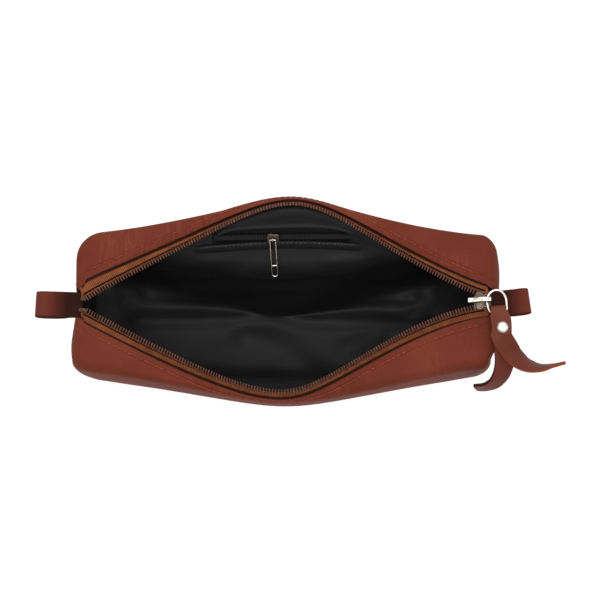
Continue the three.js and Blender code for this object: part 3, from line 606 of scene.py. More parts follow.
def wrinkles_of(tree, place, flat):
    """Soft wrinkles across the band of the mouth, in patches, but none on the walls and the ends."""
    tilted = add(tree, "Mapping", Vector=flat, Rotation=(0, 0, 0.5), Scale=(1 / 1.8, 1 / 9, 1)).outputs[0]
    wrinkles = clouds_of(tree, tilted, 1, Detail=2, Distortion=0.6)
    patches = clouds_of(tree, place, 24, Detail=1)
    in_band = clamped(tree, times_plus(tree, part_of(tree, flat, 1), -0.08, 2.9))
    length = maths(tree, "ABSOLUTE", part_of(tree, place, 0))
    within = times(tree, in_band, clamped(tree, times_plus(tree, length, -0.15, 14.6)))
    mask = times(tree, within, clamped(tree, times_plus(tree, patches, 6.0, -2.7)))
    return times(tree, times_plus(tree, wrinkles, 4.2, -1.8), mask)


def leather(name, dark, middle, light, rough, shine, with_seam=False, shade_at_root=None):
    """Finished cowhide, semi-gloss: a pebble of about a millimetre, slightly uneven dye and, on the body,
    soft wrinkles. The distances given for the root of a loop, from the middle, are those over which painted
    shade fades out: dark at its root, which lies in shade, and its own tone further out."""
    made, tree, shader = material(name)
    place = in_millimetres(tree)
    clouds = clouds_of(tree, place, 38, Detail=4, Roughness=0.55)
    cells = add(tree, "TexVoronoi", {"feature": "SMOOTH_F1"}, Vector=place, Scale=1 / 1.1, Smoothness=0.6)
    pebble = cells.outputs["Distance"]
    fine = clouds_of(tree, place, 0.7, Detail=3)
    grain = times(tree, pebble, 0.35)
    tone = times_plus(tree, fine, 0.18, times_plus(tree, clouds, 0.75, 0.04))
    if with_seam:
        flat = add(tree, "TexCoord").outputs["UV"]
        wrinkled = wrinkles_of(tree, place, flat)
        grain = maths(tree, "ADD", grain, wrinkled)
        # The wrinkles are drawn lighter in tone: partly the leather's own creasing, partly painted highlight
        # of the gloss on the creases
        tone = times_plus(tree, wrinkled, 0.16, tone)
    # Painted shade: a loop darkens towards its root, next to the body, where it lies in shade
    if shade_at_root:
        out = maths(tree, "ABSOLUTE", part_of(tree, place, 0))
        share = maths(tree, "DIVIDE", maths(tree, "SUBTRACT", out, shade_at_root[0]), shade_at_root[1] - shade_at_root[0])
        tone = times_plus(tree, tone, 0.3, times(tree, clamped(tree, share), 0.62))
    height = times_plus(tree, fine, 0.25, grain)
    if with_seam:
        # The leather sinks a little along the stitched line, which follows its edge
        away = maths(tree, "ABSOLUTE", maths(tree, "SUBTRACT", part_of(tree, flat, 1), SEAM_FROM_EDGE))
        sunk = times(tree, maths(tree, "SMOOTH_MIN", maths(tree, "DIVIDE", away, 1.1), 1.0, 0.3), 2.0)
        height = maths(tree, "ADD", height, sunk)
    looks = {
        "Base_Color": ramp(tree, tone, (0.28, dark), (0.5, middle), (0.74, light)),
        "Normal": bumped(tree, height, 0.6, 0.00035),
        "Roughness": times_plus(tree, fine, 0.06, times_plus(tree, clouds, 0.16, rough - 0.08)),
        "Specular_IOR_Level": shine,
    }
    feed_all(tree, shader, looks)
    return made


HIDE_TONES = ("#5D2518", "#6B2C1A", "#7B3926")
# The loops' tones are partly painted shade: they are drawn darker than the body's leather because the loops
# lie low beside it, in shade
LOOP_TONES_SHADED = ("#2A1008", "#4C1F15", "#663024")
STRAP_TONES = ("#5A281B", "#682F21", "#773D2E")
LEATHER_HIDE = leather("leather, semi-gloss cowhide", *HIDE_TONES, 0.66, 0.16, with_seam=True)
LEATHER_LOOP = leather("leather, loops, darker with painted shade", *LOOP_TONES_SHADED, 0.5, 0.06, shade_at_root=(107, 121))
LEATHER_STRAP = leather("leather, pull strap", *STRAP_TONES, 0.5, 0.16)


def raw_edge(name, dark, light):
    """The cut edge of a hide: open and fibrous, lighter where it is raw and darker where it is painted."""
    made, tree, shader = material(name)
    fibre = clouds_of(tree, in_millimetres(tree), 0.5, Detail=5, Roughness=0.7)
    colour = ramp(tree, fibre, (0.3, dark), (0.7, light))
    looks = {"Base_Color": colour, "Normal": bumped(tree, fibre, 0.5, 0.0002)}
    feed_all(tree, shader, looks | {"Roughness": 0.75, "Specular_IOR_Level": 0.1})
    return made


RAW_EDGE = raw_edge("leather, raw cut edge", "#74341A", "#9C4E2A")
PAINTED_EDGE = raw_edge("leather, cut edge with dark edge paint", "#240D07", "#3A180E")
# The leather's edge beside the zip is drawn dark partly as painted shade: it draws the shadow in the groove
# under the edge
ZIP_EDGE = raw_edge("leather, dark cut edge beside the zip, partly painted shade", "#33140B", "#4C2014")


def woven_tape(name, dark, light):
    """Polyester zip tape with a matt face. Its ribs lie across it, drawn 0.9 mm apart so that they show."""
    made, tree, shader = material(name)
    flat = add(tree, "TexCoord").outputs["UV"]
    rib = maths(tree, "SINE", times(tree, part_of(tree, flat, 0), 2 * math.pi / 0.9))
    thread = maths(tree, "SINE", times(tree, part_of(tree, flat, 1), 2 * math.pi / 0.8))
    weave = times_plus(tree, thread, 0.15, times(tree, rib, 0.5))
    cloud = clouds_of(tree, in_millimetres(tree), 6, Detail=4)
    tone = maths(tree, "ADD", times(tree, weave, 0.5), cloud)
    colour = ramp(tree, tone, (0.2, dark), (0.85, light))
    looks = {"Base_Color": colour, "Normal": bumped(tree, weave, 0.7, 0.0002)}
    feed_all(tree, shader, looks | {"Roughness": 0.85, "Specular_IOR_Level": 0.2})
    return made


TAPE_CLOTH = woven_tape("polyester zip tape, orange brown", "#65321A", "#985733")
# Painted shadow: the tape where it runs under the leather's edge
TAPE_PAINTED_SHADOW = woven_tape("polyester zip tape, painted shadow under the leather's edge", "#28110A", "#402012")
POCKET_CLOTH = woven_tape("polyester zip tape, black", "#050505", "#0C0C0C")


def nylon(name, dark, light, rough, shine):
    """A coil's nylon wire, or polyester thread: smooth, slightly waxy and a little uneven in tone."""
    made, tree, shader = material(name)
    patches = clouds_of(tree, in_millimetres(tree), 2.4, Detail=2)
    colour = ramp(tree, patches, (0.3, dark), (0.7, light))
    looks = {"Base_Color": colour, "Roughness": rough, "IOR": 1.53, "Specular_IOR_Level": shine}
    feed_all(tree, shader, looks)
    return made


COIL = nylon("nylon coil teeth, brown", "#45261A", "#704636", 0.4, 0.15)
POCKET_COIL = nylon("nylon coil teeth, black", "#080808", "#0F0F0F", 0.7, 0.03)
# Near black, partly as painted shade: the coil's thread draws the dark line beside the coil
DARK_THREAD = nylon("polyester thread, near black, partly painted shade", "#100705", "#200E08", 0.8, 0.05)
SEAM_THREAD = nylon("polyester thread, tonal red brown", "#742F1F", "#944834", 0.6, 0.15)
GREY_THREAD = nylon("polyester thread, grey", "#424242", "#5C5C5C", 0.6, 0.05)


def satin(name, dark, light):
    """Black polyester lining satin: smooth threads with a soft, broad sheen and small crumples."""
    made, tree, shader = material(name)
    place = in_millimetres(tree)
    weave = clouds_of(tree, in_millimetres(tree, scale=(1 / 0.5, 1 / 2.5, 1 / 2.5)), 1)
    cloud = clouds_of(tree, place, 30, Detail=3)
    crumple = clouds_of(tree, place, 12, Detail=3, Roughness=0.5)
    height = times_plus(tree, weave, 0.05, times(tree, crumple, 1.2))
    looks = {
        "Base_Color": ramp(tree, cloud, (0.3, dark), (0.7, light)),
        "Normal": bumped(tree, height, 0.3, 0.0012),
        "Roughness": times_plus(tree, cloud, 0.12, 0.42),
        "Specular_IOR_Level": 0.12,
    }
    feed_all(tree, shader, looks)
    return made


SATIN = satin("polyester lining satin, black", "#1C1C1C", "#222222")


def metal(name, shaded_flank, face, rough):
    """Nickel plate on cast zinc, slightly uneven and warm, with painted light and shade: lighter where it
    faces up or down, darker on its upright flanks.
    """
    made, tree, shader = material(name)
    patches = clouds_of(tree, in_millimetres(tree), 2.5, Detail=2)
    # Painted light and shade: the colour follows how far the surface faces up or down
    facing_up_or_down = maths(tree, "ABSOLUTE", part_of(tree, add(tree, "TexCoord").outputs["Normal"], 2))
    tone = times_plus(tree, patches, 0.3, maths(tree, "SUBTRACT", facing_up_or_down, 0.15))
    looks = {
        "Base_Color": ramp(tree, tone, (0.55, shaded_flank), (0.95, face)),
        "Roughness": times_plus(tree, patches, 0.1, rough),
        "Metallic": 1.0,
    }
    feed_all(tree, shader, looks)
    return made


NICKEL = metal("nickel plate, worn", "#4A4138", "#80776C", 0.25)
NICKEL_BRIGHT = metal("nickel plate, polished", "#6E6256", "#E2DAD0", 0.2)
NICKEL_CAP = metal("nickel plate, polished cap", "#A0968A", "#EAE3DB", 0.2)
# Painted shade: the slider's sunk top and the crown's sides and right end take this darker nickel
NICKEL_SHADED = metal("nickel plate, unpolished in the recesses", "#32281F", "#5A4F45", 0.35)
NICKEL_DULL = metal("nickel plate, dull and browned", "#33241E", "#4A3630", 0.45)


def finish(piece, finishes, nodes=(), body="pouch_body"):
    """Gives a finished piece its materials, unless it has some, and its body, and hides the solids of
    model.glb that it stands for.
    """
    if not piece.data.materials:
        give(piece, *(finishes if isinstance(finishes, tuple) else (finishes,)))
    for node in nodes:
        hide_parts(node)
    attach(piece, body)
    return piece


# Camera, light and floor

SIGHT = Vector((7, 1.3, 61)) * MM
SIGHT_DISTANCE = 0.75
SIGHT_TILT = math.radians(10)
SIGHT_ROLL = math.radians(-0.5)

camera = bpy.data.cameras.new("camera")
camera.sensor_width = 36
camera.lens = 90
viewer = bpy.data.objects.new("camera", camera)
bpy.context.scene.collection.objects.link(viewer)
viewer.matrix_world = (
    Matrix.Translation(SIGHT)
    @ Matrix.Rotation(SIGHT_TILT, 4, "X")
    @ Matrix.Rotation(SIGHT_ROLL, 4, "Z")
    @ Matrix.Translation((0, 0, SIGHT_DISTANCE))
)
bpy.context.scene.camera = viewer


def softbox(name, place, size, power):
    """A rectangular soft lamp that looks at the pouch."""
    lamp = bpy.data.lights.new(name, "AREA")
    lamp.shape = "RECTANGLE"
    lamp.size, lamp.size_y = size
    lamp.energy = power
    holder = bpy.data.objects.new(name, lamp)
    bpy.context.scene.collection.objects.link(holder)
    place = Vector(place)
    holder.location = place
    holder.rotation_euler = (SIGHT - place).to_track_quat("-Z", "Y").to_euler()


softbox("lamp overhead", (0.05, -0.2, 1.13), (0.5, 0.5), 4.2)
softbox("lamp over the rear", (-0.1, 0.6, 0.7), (0.9, 0.5), 2.6)
softbox("lamp at the left", (-0.8, -0.1, 0.55), (0.5, 0.7), 1.3)
softbox("lamp at the right", (0.85, 0.0, 0.5), (0.5, 0.7), 1.1)


def seen_directly(tree):
    """1 for a ray that sees the backdrop from the camera, in a mirror or through glass, else 0."""
    rays = add(tree, "LightPath").outputs
    seen = maths(tree, "MAXIMUM", rays["Is Camera Ray"], rays["Is Glossy Ray"])
    return maths(tree, "MAXIMUM", seen, rays["Is Transmission Ray"])


WHITE = linear("#FFFFFF")
world = bpy.data.worlds.new("studio")
bpy.context.scene.world = world
world.use_nodes = True
sky = world.node_tree
sky.nodes.clear()
dim = add(sky, "Background", Color=WHITE, Strength=0.5).outputs[0]
bright = add(sky, "Background", Color=WHITE, Strength=1.0).outputs[0]
both = add(sky, "MixShader", i0=seen_directly(sky), i1=dim, i2=bright).outputs[0]
add(sky, "OutputWorld", i0=both)

bpy.ops.object.select_all(action="DESELECT")
bpy.ops.mesh.primitive_plane_add(size=6, location=(0, 0, -0.0002))
floor = named("floor")
made = bpy.data.materials.new("white paper sweep")
made.use_nodes = True
paper = made.node_tree
paper.nodes.clear()
matt = add(paper, "BsdfDiffuse", Color=linear("#8A8A8A")).outputs[0]
glow = add(paper, "Emission", Color=WHITE, Strength=0.86).outputs[0]
plain = add(paper, "BsdfDiffuse", Color=linear("#D8D8D8")).outputs[0]
lit = add(paper, "AddShader", i0=matt, i1=glow).outputs[0]
both = add(paper, "MixShader", i0=seen_directly(paper), i1=plain, i2=lit).outputs[0]
add(paper, "OutputMaterial", i0=both)
floor.data.materials.append(made)


# The shape of the rim


def tent(x):
    """How far the mouth has opened at x, from 0 at its ends to 1 at its middle."""
    along = min(abs(x) / MOUTH_HALF_LENGTH, 1)
    fall = math.hypot(along, PEAK_SHARE) - PEAK_SHARE
    return max(1 - fall / (math.hypot(1, PEAK_SHARE) - PEAK_SHARE), 0)


def quarter(x, y):
    """The end and the side of the body that a place is at."""
    return (-1 if x < 0 else 1, 1 if y > 0 else -1)


def rim(x, side):
    """The place on the rim, which is the middle of the coil."""
    opened = tent(x - PEAK_X[side] * max(1 - (x / MOUTH_HALF_LENGTH) ** 2, 0))
    y = ZIP_END_Y + (MOUTH_HALF_WIDTH - ZIP_END_Y) * opened ** FULLNESS[quarter(x, side)]
    return Vector((x, side * y, BODY_HEIGHT + RIM_RISE * opened**RISE_POWER))


def band_tilt(x):
    return BAND_TILT[0] + (BAND_TILT[1] - BAND_TILT[0]) * tent(x)


def rim_frame(x, side):
    """The place on the rim, and the directions along it, outward in the band and square to the band."""
    step = 0.15
    along = (rim(x + step, side) - rim(x - step, side)).normalized()
    tilt = band_tilt(x)
    away = Vector((0, side * math.cos(tilt), -math.sin(tilt)))
    away = (away - along * away.dot(along)).normalized()
    above = along.cross(away).normalized()
    return rim(x, side), along, away, (-above if above.z < 0 else above)


def on_rim(spot, out, up):
    """The place this far out in the band, and this far above it."""
    origin, _, away, above = spot
    return origin + away * out + above * up


def rim_axes(x, side):
    """The rim's place and directions as a matrix, with Y outward and Z square to the band."""
    origin, _, away, above = rim_frame(x, side)
    return axes(origin, away.cross(above), away, above)


def along_rim(side, start, stop, pitch):
    """Places on the rim, this far apart along its own length."""
    samples = [start + (stop - start) * k / RIM_SAMPLES for k in range(RIM_SAMPLES + 1)]
    lengths = running_lengths([rim(x, side) for x in samples])
    count = round(lengths[-1] / pitch)
    found = []
    k = 0
    for i in range(count):
        target = (i + 0.5) * lengths[-1] / count
        while lengths[k + 1] < target:
            k += 1
        share = (target - lengths[k]) / (lengths[k + 1] - lengths[k])
        found.append(samples[k] + (samples[k + 1] - samples[k]) * share)
    return found


# The shape of the body. Its half sections lie in Y and Z

# How many steps each half section has in its band, shoulder, wall, foot and base. The end walls have a ring
# for each step from the middle of the shoulder to the mouth's edge and END_RINGS more, and as many in the
# base. Between the corners the body has this many stations
END_RINGS = 4
CORNER_STEPS = 8
LEATHER_STATIONS = 84
LINING_STATIONS = 80
LEATHER_STEPS = (12, 10, 14, 6, 18)
LINING_STEPS = (6, 10, 14, 12, 9)


def band_point(x, side, out, up):
    """The point of a half section this far out in the band, and this far above it."""
    place, _, away, _ = rim_frame(x, side)
    stretch = out / max(math.hypot(away.y, away.z), 0.5)
    tilt = band_tilt(x)
    y = abs(place.y) + stretch * math.cos(tilt) + up * math.sin(tilt)
    return Vector((y, place.z - stretch * math.sin(tilt) + up * math.cos(tilt)))


def turns_of(steps):
    """Which points of a half section are the middle of its shoulder and of its foot."""
    return steps[0] + steps[1] // 2, sum(steps[:3]) + steps[3] // 2


def section(edge, shoulder, wall, foot, crown, radii, middle, steps):
    """The half section, from the mouth's edge over the shoulder and down the wall to the middle of the
    base."""
    base = Vector((middle, foot.y))
    reach = min(radii[0], (edge - shoulder).length / 2)
    before = shoulder.lerp(edge, reach / (edge - shoulder).length)
    after = shoulder.lerp(wall, radii[0] / (shoulder - wall).length)
    over_foot = foot.lerp(wall, radii[1] / (foot - wall).length)
    past_foot = foot.lerp(base, radii[1] / (foot - base).length)
    found = [edge]
    bend(found, edge.lerp(before, 0.5) + Vector((0, crown)), before, steps[0])
    bend(found, shoulder, after, steps[1])
    bend(found, wall * 2 - after / 2 - over_foot / 2, over_foot, steps[2])
    bend(found, foot, past_foot, steps[3])
    found += [past_foot.lerp(base, k / steps[4]) for k in range(1, steps[4] + 1)]
    return found


def leather_edge(x, side):
    """How far the leather's edge lies from the middle of the coil."""
    wider = EDGE_STANDS_OFF * (1 - tent(x)) ** 1.5 if side > 0 and x < 0 else 0
    return LEATHER_EDGE + wider - EDGE_CLOSES * eased((abs(x) - 100) / 3.5)


def leather_section(x, side, corner):
    """The leather's half section. corner goes from 0 on the body to 1 at its end."""
    opened = tent(x)
    here = quarter(x, side)
    edge = band_point(x, side, leather_edge(x, side), 0)
    edge.y -= CORNER_TOP * corner
    half = BODY_WIDTH / 2 - CORNER_IN[here] * corner
    out = SHOULDER_OUT[here] * (1 - (opened / 0.8) ** 1.6 if opened < 0.8 else 0)
    spread = SHOULDER_SPREAD[side] * opened ** SHOULDER_POWER[side]
    pinch = FOOT_PINCH * eased((abs(x) - 74) / 28) if side < 0 else 0
    shoulder = Vector((half + spread + out, BODY_HEIGHT + SHOULDER_RISE * opened - CORNER_TOP * corner))
    wall = Vector((half + WALL_BULGE[side] * opened + 0.5 * out, WALL_HEIGHT))
    foot = Vector((half - pinch, CORNER_BASE * corner))
    radii = (SHOULDER_RADIUS, BASE_RADIUS)
    return section(edge, shoulder, wall, foot, BAND_CROWN, radii, HIDE_MIDDLE, LEATHER_STEPS)


def lining_section(x, side, corner):
    """The lining's half section, inside the leather's."""
    opened = tent(x)
    here = quarter(x, side)
    into, drop, wall_in, foot_in = LINING_FOLD[side]
    edge = band_point(x, side, LINING_EDGE, -LINING_UNDER)
    edge.y -= CORNER_TOP * corner
    half = BODY_WIDTH / 2 - LINING_INSET - CORNER_IN[here] * corner
    top = BODY_HEIGHT - LINING_INSET - LINING_SAG - CORNER_TOP * corner
    shoulder = Vector((half - into * opened, top - drop * opened))
    wall = Vector((half - wall_in * opened, WALL_HEIGHT))
    foot = Vector((half - foot_in * opened - 1.5, LINING_INSET + CORNER_BASE * corner))
    radii = (SHOULDER_RADIUS, min(LINING_RADIUS, 0.55 * foot.x))
    return section(edge, shoulder, wall, foot, 0, radii, LINING_MIDDLE, LINING_STEPS)


def skewed(x, y, z):
    """Leans the ends of the body out or in, by more towards its corners."""
    near_end = limited((abs(x) - LEAN_FROM) / LEAN_OVER) ** 2
    return Vector((x + END_LEAN[quarter(x, y)] * near_end * abs(y) / math.hypot(y, LEAN_SOFT), y, z))


def swell(end, side, y, z):
    """How far an end wall bulges at this place."""
    top = BODY_HEIGHT - CORNER_TOP
    fall = math.sqrt(max(1 - (y / (BODY_WIDTH / 2)) ** 2, 0)) * math.sqrt(max(4 * z * (top - z), 0)) / top
    out = MIDDLE_BULGE[end] + (END_BULGE[end, side] - MIDDLE_BULGE[end]) * eased(abs(y) / 24)
    return out * fall


def nearness(point, centre, spread):
    """1 at the centre, falling softly to 0 past the spread along each axis."""
    return math.exp(-sum(((p - c) / s) ** 2 for p, c, s in zip(point, centre, spread)))


def dented(point):
    """The right front corner is folded in half way up, and its foot stands out below the fold."""
    fold = nearness(point, *DENT)
    foot = nearness(point, *DENT_FOOT)
    return point + Vector((-9 * fold + 1.2 * foot, 3 * fold, 0))


def end_wall(lead, steps, middle):
    """Columns of the end wall, from the middle of the body to the corner. The lead is the half section there:
    its band gives their upper ends, and its base their lower ends."""
    top, foot = turns_of(steps)
    count = top + END_RINGS
    upper = [lead[top - k] for k in range(top + 1)]
    mouth = upper[-1]
    drop = min(NOTCH - mouth.y, 0)
    for k in range(1, END_RINGS + 1):
        share = k / END_RINGS
        upper.append(Vector((mouth.x + (middle - mouth.x) * share, mouth.y + drop * min(share * 2, 1))))
    high, low = lead[top].y, lead[foot].y
    found = []
    for k in range(count, 0, -1):
        above, below = upper[k], lead[foot + k]
        column = []
        for j, point in enumerate(lead):
            share = limited((j - top) / (foot - top))
            height = 1 if j <= top else 0 if j >= foot else limited((point.y - low) / (high - low))
            across = above.x + (below.x - above.x) * share
            column.append(Vector((across, below.y + (above.y - below.y) * height)))
        found.append(column)
    return found


def shell_rings(half_section, side, half, end_share, stations, steps, middle):
    """Rings of one half of a shell: across one end wall, round the corner, along the body and back again.
    end_share is how much of the leather's bulge its end walls have."""

    def ring_of(points, x, bulge):
        """The points of a half section as a ring of the shell."""
        end = -1 if x < 0 else 1
        return [skewed(x + end * bulge * swell(end, side, p.x, p.y), side * p.x, p.y) for p in points]

    ends = []
    for end in (-1, 1):
        lead = half_section(end * half, side, 1)
        found = [ring_of(column, end * half, end_share) for column in end_wall(lead, steps, middle)]
        for k in range(CORNER_STEPS):
            angle = math.pi / 2 * (1 - k / CORNER_STEPS)
            x = end * (half - CORNER_ALONG[end, side] * (1 - math.sin(angle)))
            points = half_section(x, side, 1 - math.cos(angle))
            found.append(ring_of(points, x, end_share * (1 - k / CORNER_STEPS)))
        ends.append(found)
    body = []
    for k in range(stations + 1):
        share = 2 * k / stations - 1
        inner = half - CORNER_ALONG[quarter(share, side)]
        x = inner * math.copysign(abs(share) ** 1.25, share)
        body.append(ring_of(half_section(x, side, 0), x, 0))
    return ends[0] + body + ends[1][::-1]


def beside_end_walls(count, steps):
    """Tells the empty faces of a shell with this many rings: beside the upper and lower ends of the end
    walls. The lining has both halves in each ring, so its columns are counted from both sides."""
    top, foot = turns_of(steps)
    wall = top + END_RINGS
    last = 2 * sum(steps)

    def left_out(i, j):
        j = min(j, last - 1 - j)
        return (i < wall or i >= count - 1 - wall) and (j < top or j >= foot)

    return left_out


# The leather body

SIDES = (("rear", 1), ("front", -1))

for name, side in SIDES:
    settings = (BODY_LENGTH / 2, 1, LEATHER_STATIONS, LEATHER_STEPS, HIDE_MIDDLE)
    rings = shell_rings(leather_section, side, *settings)
    if side < 0:
        rings = [[dented(point) for point in ring] for ring in rings]
    gaps = beside_end_walls(len(rings), LEATHER_STEPS)
    hide = lofted(f"{name}_leather", rings, pattern_of(rings, 0), left_out=gaps)
    if side > 0:
        flip(hide)
    give(hide, LEATHER_HIDE, ZIP_EDGE)
    # The rim of the hide takes the dark edge colour, partly painted shade beside the zip
    thicken(hide, LEATHER, material_offset_rim=1)
    smooth(round_edges(hide, 0.4, 3, 55), 60)
    panels = [f"{name}_leather_panel"] + (["base_panel"] if side < 0 else [])
    finish(hide, LEATHER_HIDE, panels)


# The stitched line along the mouth


def from_edge(x, side, distance):
    """A point of the leather at this distance from the mouth's edge, and the direction down its section."""
    points = leather_section(x, side, 0)
    walked = 0.0
    for a, b in zip(points, points[1:]):
        step = (b - a).length
        if walked + step >= distance:
            found = a.lerp(b, (distance - walked) / step)
            return skewed(x, side * found.x, found.y), (b - a).normalized()
        walked += step


def stitch_axes(x, side):
    """Where a stitch sits on the leather, with X along the rim and Z off the leather."""
    here, down = from_edge(x, side, SEAM_FROM_EDGE)
    before, after = [from_edge(x + step, side, SEAM_FROM_EDGE)[0] for step in (-0.5, 0.5)]
    along = (after - before).normalized()
    above = along.cross(Vector((0, side * down.x, down.y))).normalized()
    if above.z < 0:
        above = -above
    return axes(here, along, above.cross(along).normalized(), above)


for name, side in SIDES:
    path = spots((-1.05, 0, -0.25), (-0.7, 0, 0.08), (0.7, 0, 0.08), (1.05, 0, -0.25))
    stitch = tube("stitch", path, STITCH_WIRE, sides=6)
    places = [stitch_axes(x, side) for x in along_rim(side, *SEAM_ROW)]
    finish(copies(f"{name}_seam", stitch, places), SEAM_THREAD)


# The zip: tapes, coils, their threads and the stops at the left end

COIL_IN = -TOOTH_LENGTH / 2
COIL_OUT = TOOTH_LENGTH / 2 - 0.3
COIL_LOOP = spots(
    (0.0, COIL_OUT, -0.28),
    (-0.05, 0.2, -0.22),
    (0.0, COIL_IN + 0.55, -0.24),
    (0.06, COIL_IN + 0.2, -0.62),
    (0.1, COIL_IN + 0.6, -0.92),
    (0.2, COIL_OUT, -0.86),
)
# By side: how far out and how low the thread that holds the coil to the tape lies. Its near-black colour is
# partly painted shade: it draws the dark line of shade between the coil and the tape
THREAD_AT = {1: (2.5, -1.2), -1: (1.95, -1.45)}
STOP_HALF = {1: 1.5, -1: 2.0}


def tape_ring(x, side):
    """The tape from under the coil to under the leather: orange to just short of the edge, then darker with
    painted shadow where it runs under the leather's edge.
    """
    spot = rim_frame(x, side)
    start = TAPE_FROM[0] + TAPE_FROM[1] * tent(x)
    stop = leather_edge(x, side)
    outs = [start + (stop - TAPE_SHADOW_WIDTH - start) * k / TAPE_STEPS for k in range(TAPE_STEPS + 1)]
    outs += [stop + 0.3, stop + TAPE_LAP]
    ring = []
    for k, out in enumerate(outs):
        sag = TAPE_SAG * math.sin(math.pi * k / (TAPE_STEPS + 2))
        lift = TAPE_LIFTS[1] * eased((k - TAPE_STEPS + 1) / 3) + TAPE_LIFTS[0] * eased(1 - k / 2)
        ring.append(on_rim(spot, out, TAPE_TOP - sag + lift))
    return ring


for name, side in SIDES:
    rings = [tape_ring(x, side) for x in along_rim(side, *TAPE_ROW)]
    # The outer columns of the tape take the painted shadow under the leather's edge
    tape = strip(f"{name}_tape", rings, side, TAPE, lambda j: int(j >= TAPE_STEPS))
    finish(smooth(tape, 50), (TAPE_CLOTH, TAPE_PAINTED_SHADOW), [f"{name}_zip_tape"])

    loop = tube("loop", COIL_LOOP, COIL_WIRE, sides=6, up=Vector((1, 0, 0)))
    places = [rim_axes(x, side) for x in along_rim(side, *COIL_ROW)]
    teeth = copies(f"{name}_teeth", loop, places)
    finish(smooth(teeth, 60), COIL, [f"{name}_zip_chain"])

    path = [on_rim(rim_frame(x, side), *THREAD_AT[side]) for x in along_rim(side, *THREAD_ROW)]
    finish(tube(f"{name}_coil_thread", path, COIL_THREAD, sides=8), DARK_THREAD)

    half = STOP_HALF[side]
    outline = [(-half, -0.8), (half, -1.1), (half + 0.5, 0), (half, 1.2), (-half, 1.1)]
    stop = plate(f"{name}_stop", outline, -1.5, 0.3, 0.5, 3)
    moved(stop, rim_axes(-MOUTH_HALF_LENGTH - 0.6, side))
    finish(stop, NICKEL_DULL, [f"{name}_top_stop"])


# The lining

# Long soft folds of the cloth on the base: the line of each, its height and its half width
FOLDS = [
    ([(-75, 15), (-30, 15.5), (-8, 19), (12, 14.5), (70, 12)], 2.4, 4.5),
    ([(-80, 1), (-25, 1.5), (-10, 5), (10, 0), (75, -3)], 2.0, 4.5),
    ([(-22, -8), (-5, -14), (12, -26)], 2.0, 7),
    ([(32, -16), (50, -6)], 1.6, 5),
    ([(60, -8), (78, 14)], 1.5, 5),
]
# The folds lie below this height
FOLDS_UNDER = 12
# The cloth behind the pocket's zip lies at least this far under it
ZIP_UNDER = -1.35
# Round the zip it lies flat: this far along from the zip's middle, up and down
FLAT_ROUND_ZIP = (46, 11.5, 13)
# The broad and the small crumples: their height, length and width, and where in the noise they lie
CRUMPLES = ((1.6, 44, 16, 4.2), (0.6, 18, 9, 7.7))
CRUMPLE_DEPTH = 0.7
INTO_POCKET = POCKET.inverted()


def fold_height(x, y):
    """How high the folds of the base stand here."""
    found = 0.0
    for line, height, half_width in FOLDS:
        nearest = math.inf
        for (x0, y0), (x1, y1) in zip(line, line[1:]):
            share = ((x - x0) * (x1 - x0) + (y - y0) * (y1 - y0)) / ((x1 - x0) ** 2 + (y1 - y0) ** 2)
            share = limited(share)
            nearest = min(nearest, math.hypot(x - x0 - share * (x1 - x0), y - y0 - share * (y1 - y0)))
        found = max(found, height * math.exp(-((nearest / half_width) ** 2)))
    return found


def crumples_at(x, down):
    """How far the crumples of the cloth lift it, this far along the mouth and down from its edge."""
    found = 0.0
    for height, length, width, seed in CRUMPLES:
        found += height * noise.noise(Vector((x / length, down / width, seed)))
    return max(found, -CRUMPLE_DEPTH)


def crumpled(ring):
    """A ring of the lining with its soft folds, and laid flat where the pocket's zip is sewn on."""
    lengths = running_lengths(ring)
    row = []
    for j, point in enumerate(ring):
        before, after = beside(ring, j)
        inward = (after - before).cross(Vector((1, 0, 0))).normalized()
        from_mouth = min(lengths[j], lengths[-1] - lengths[j])
        free = eased(from_mouth / 16) * eased((102 - abs(point.x)) / 14)
        lift = crumples_at(point.x, lengths[j]) * free
        if point.z < FOLDS_UNDER:
            lift = 0.4 * lift + fold_height(point.x, point.y) * (1 - point.z / FOLDS_UNDER)
        lifted = point + inward * lift
        near = INTO_POCKET @ lifted
        aside, up, down = FLAT_ROUND_ZIP
        flat = eased((aside - abs(near.x)) / 7) * eased((up - near.y) / 4) * eased((down + near.y) / 4)
        flat *= eased((from_mouth - 2) / 8)
        if abs(near.z) < 8:
            near.z += (min(near.z, ZIP_UNDER) - near.z) * flat
            lifted = POCKET @ near
        row.append(lifted)
    return row


settings = (BODY_LENGTH / 2 - LINING_INSET, 0, LINING_STATIONS, LINING_STEPS, LINING_MIDDLE)
halves = [shell_rings(lining_section, side, *settings) for side in (1, -1)]
halves[1] = [[dented(point) for point in ring] for ring in halves[1]]
rings = [crumpled(rear + front[-2::-1]) for rear, front in zip(*halves)]
gaps = beside_end_walls(len(rings), LINING_STEPS)
lining = thicken(merge(lofted("lining_cloth", rings, pattern_of(rings, 0), left_out=gaps)), CLOTH)
finish(smooth(lining), SATIN, ["rear_lining", "front_lining"])


# Leather strips


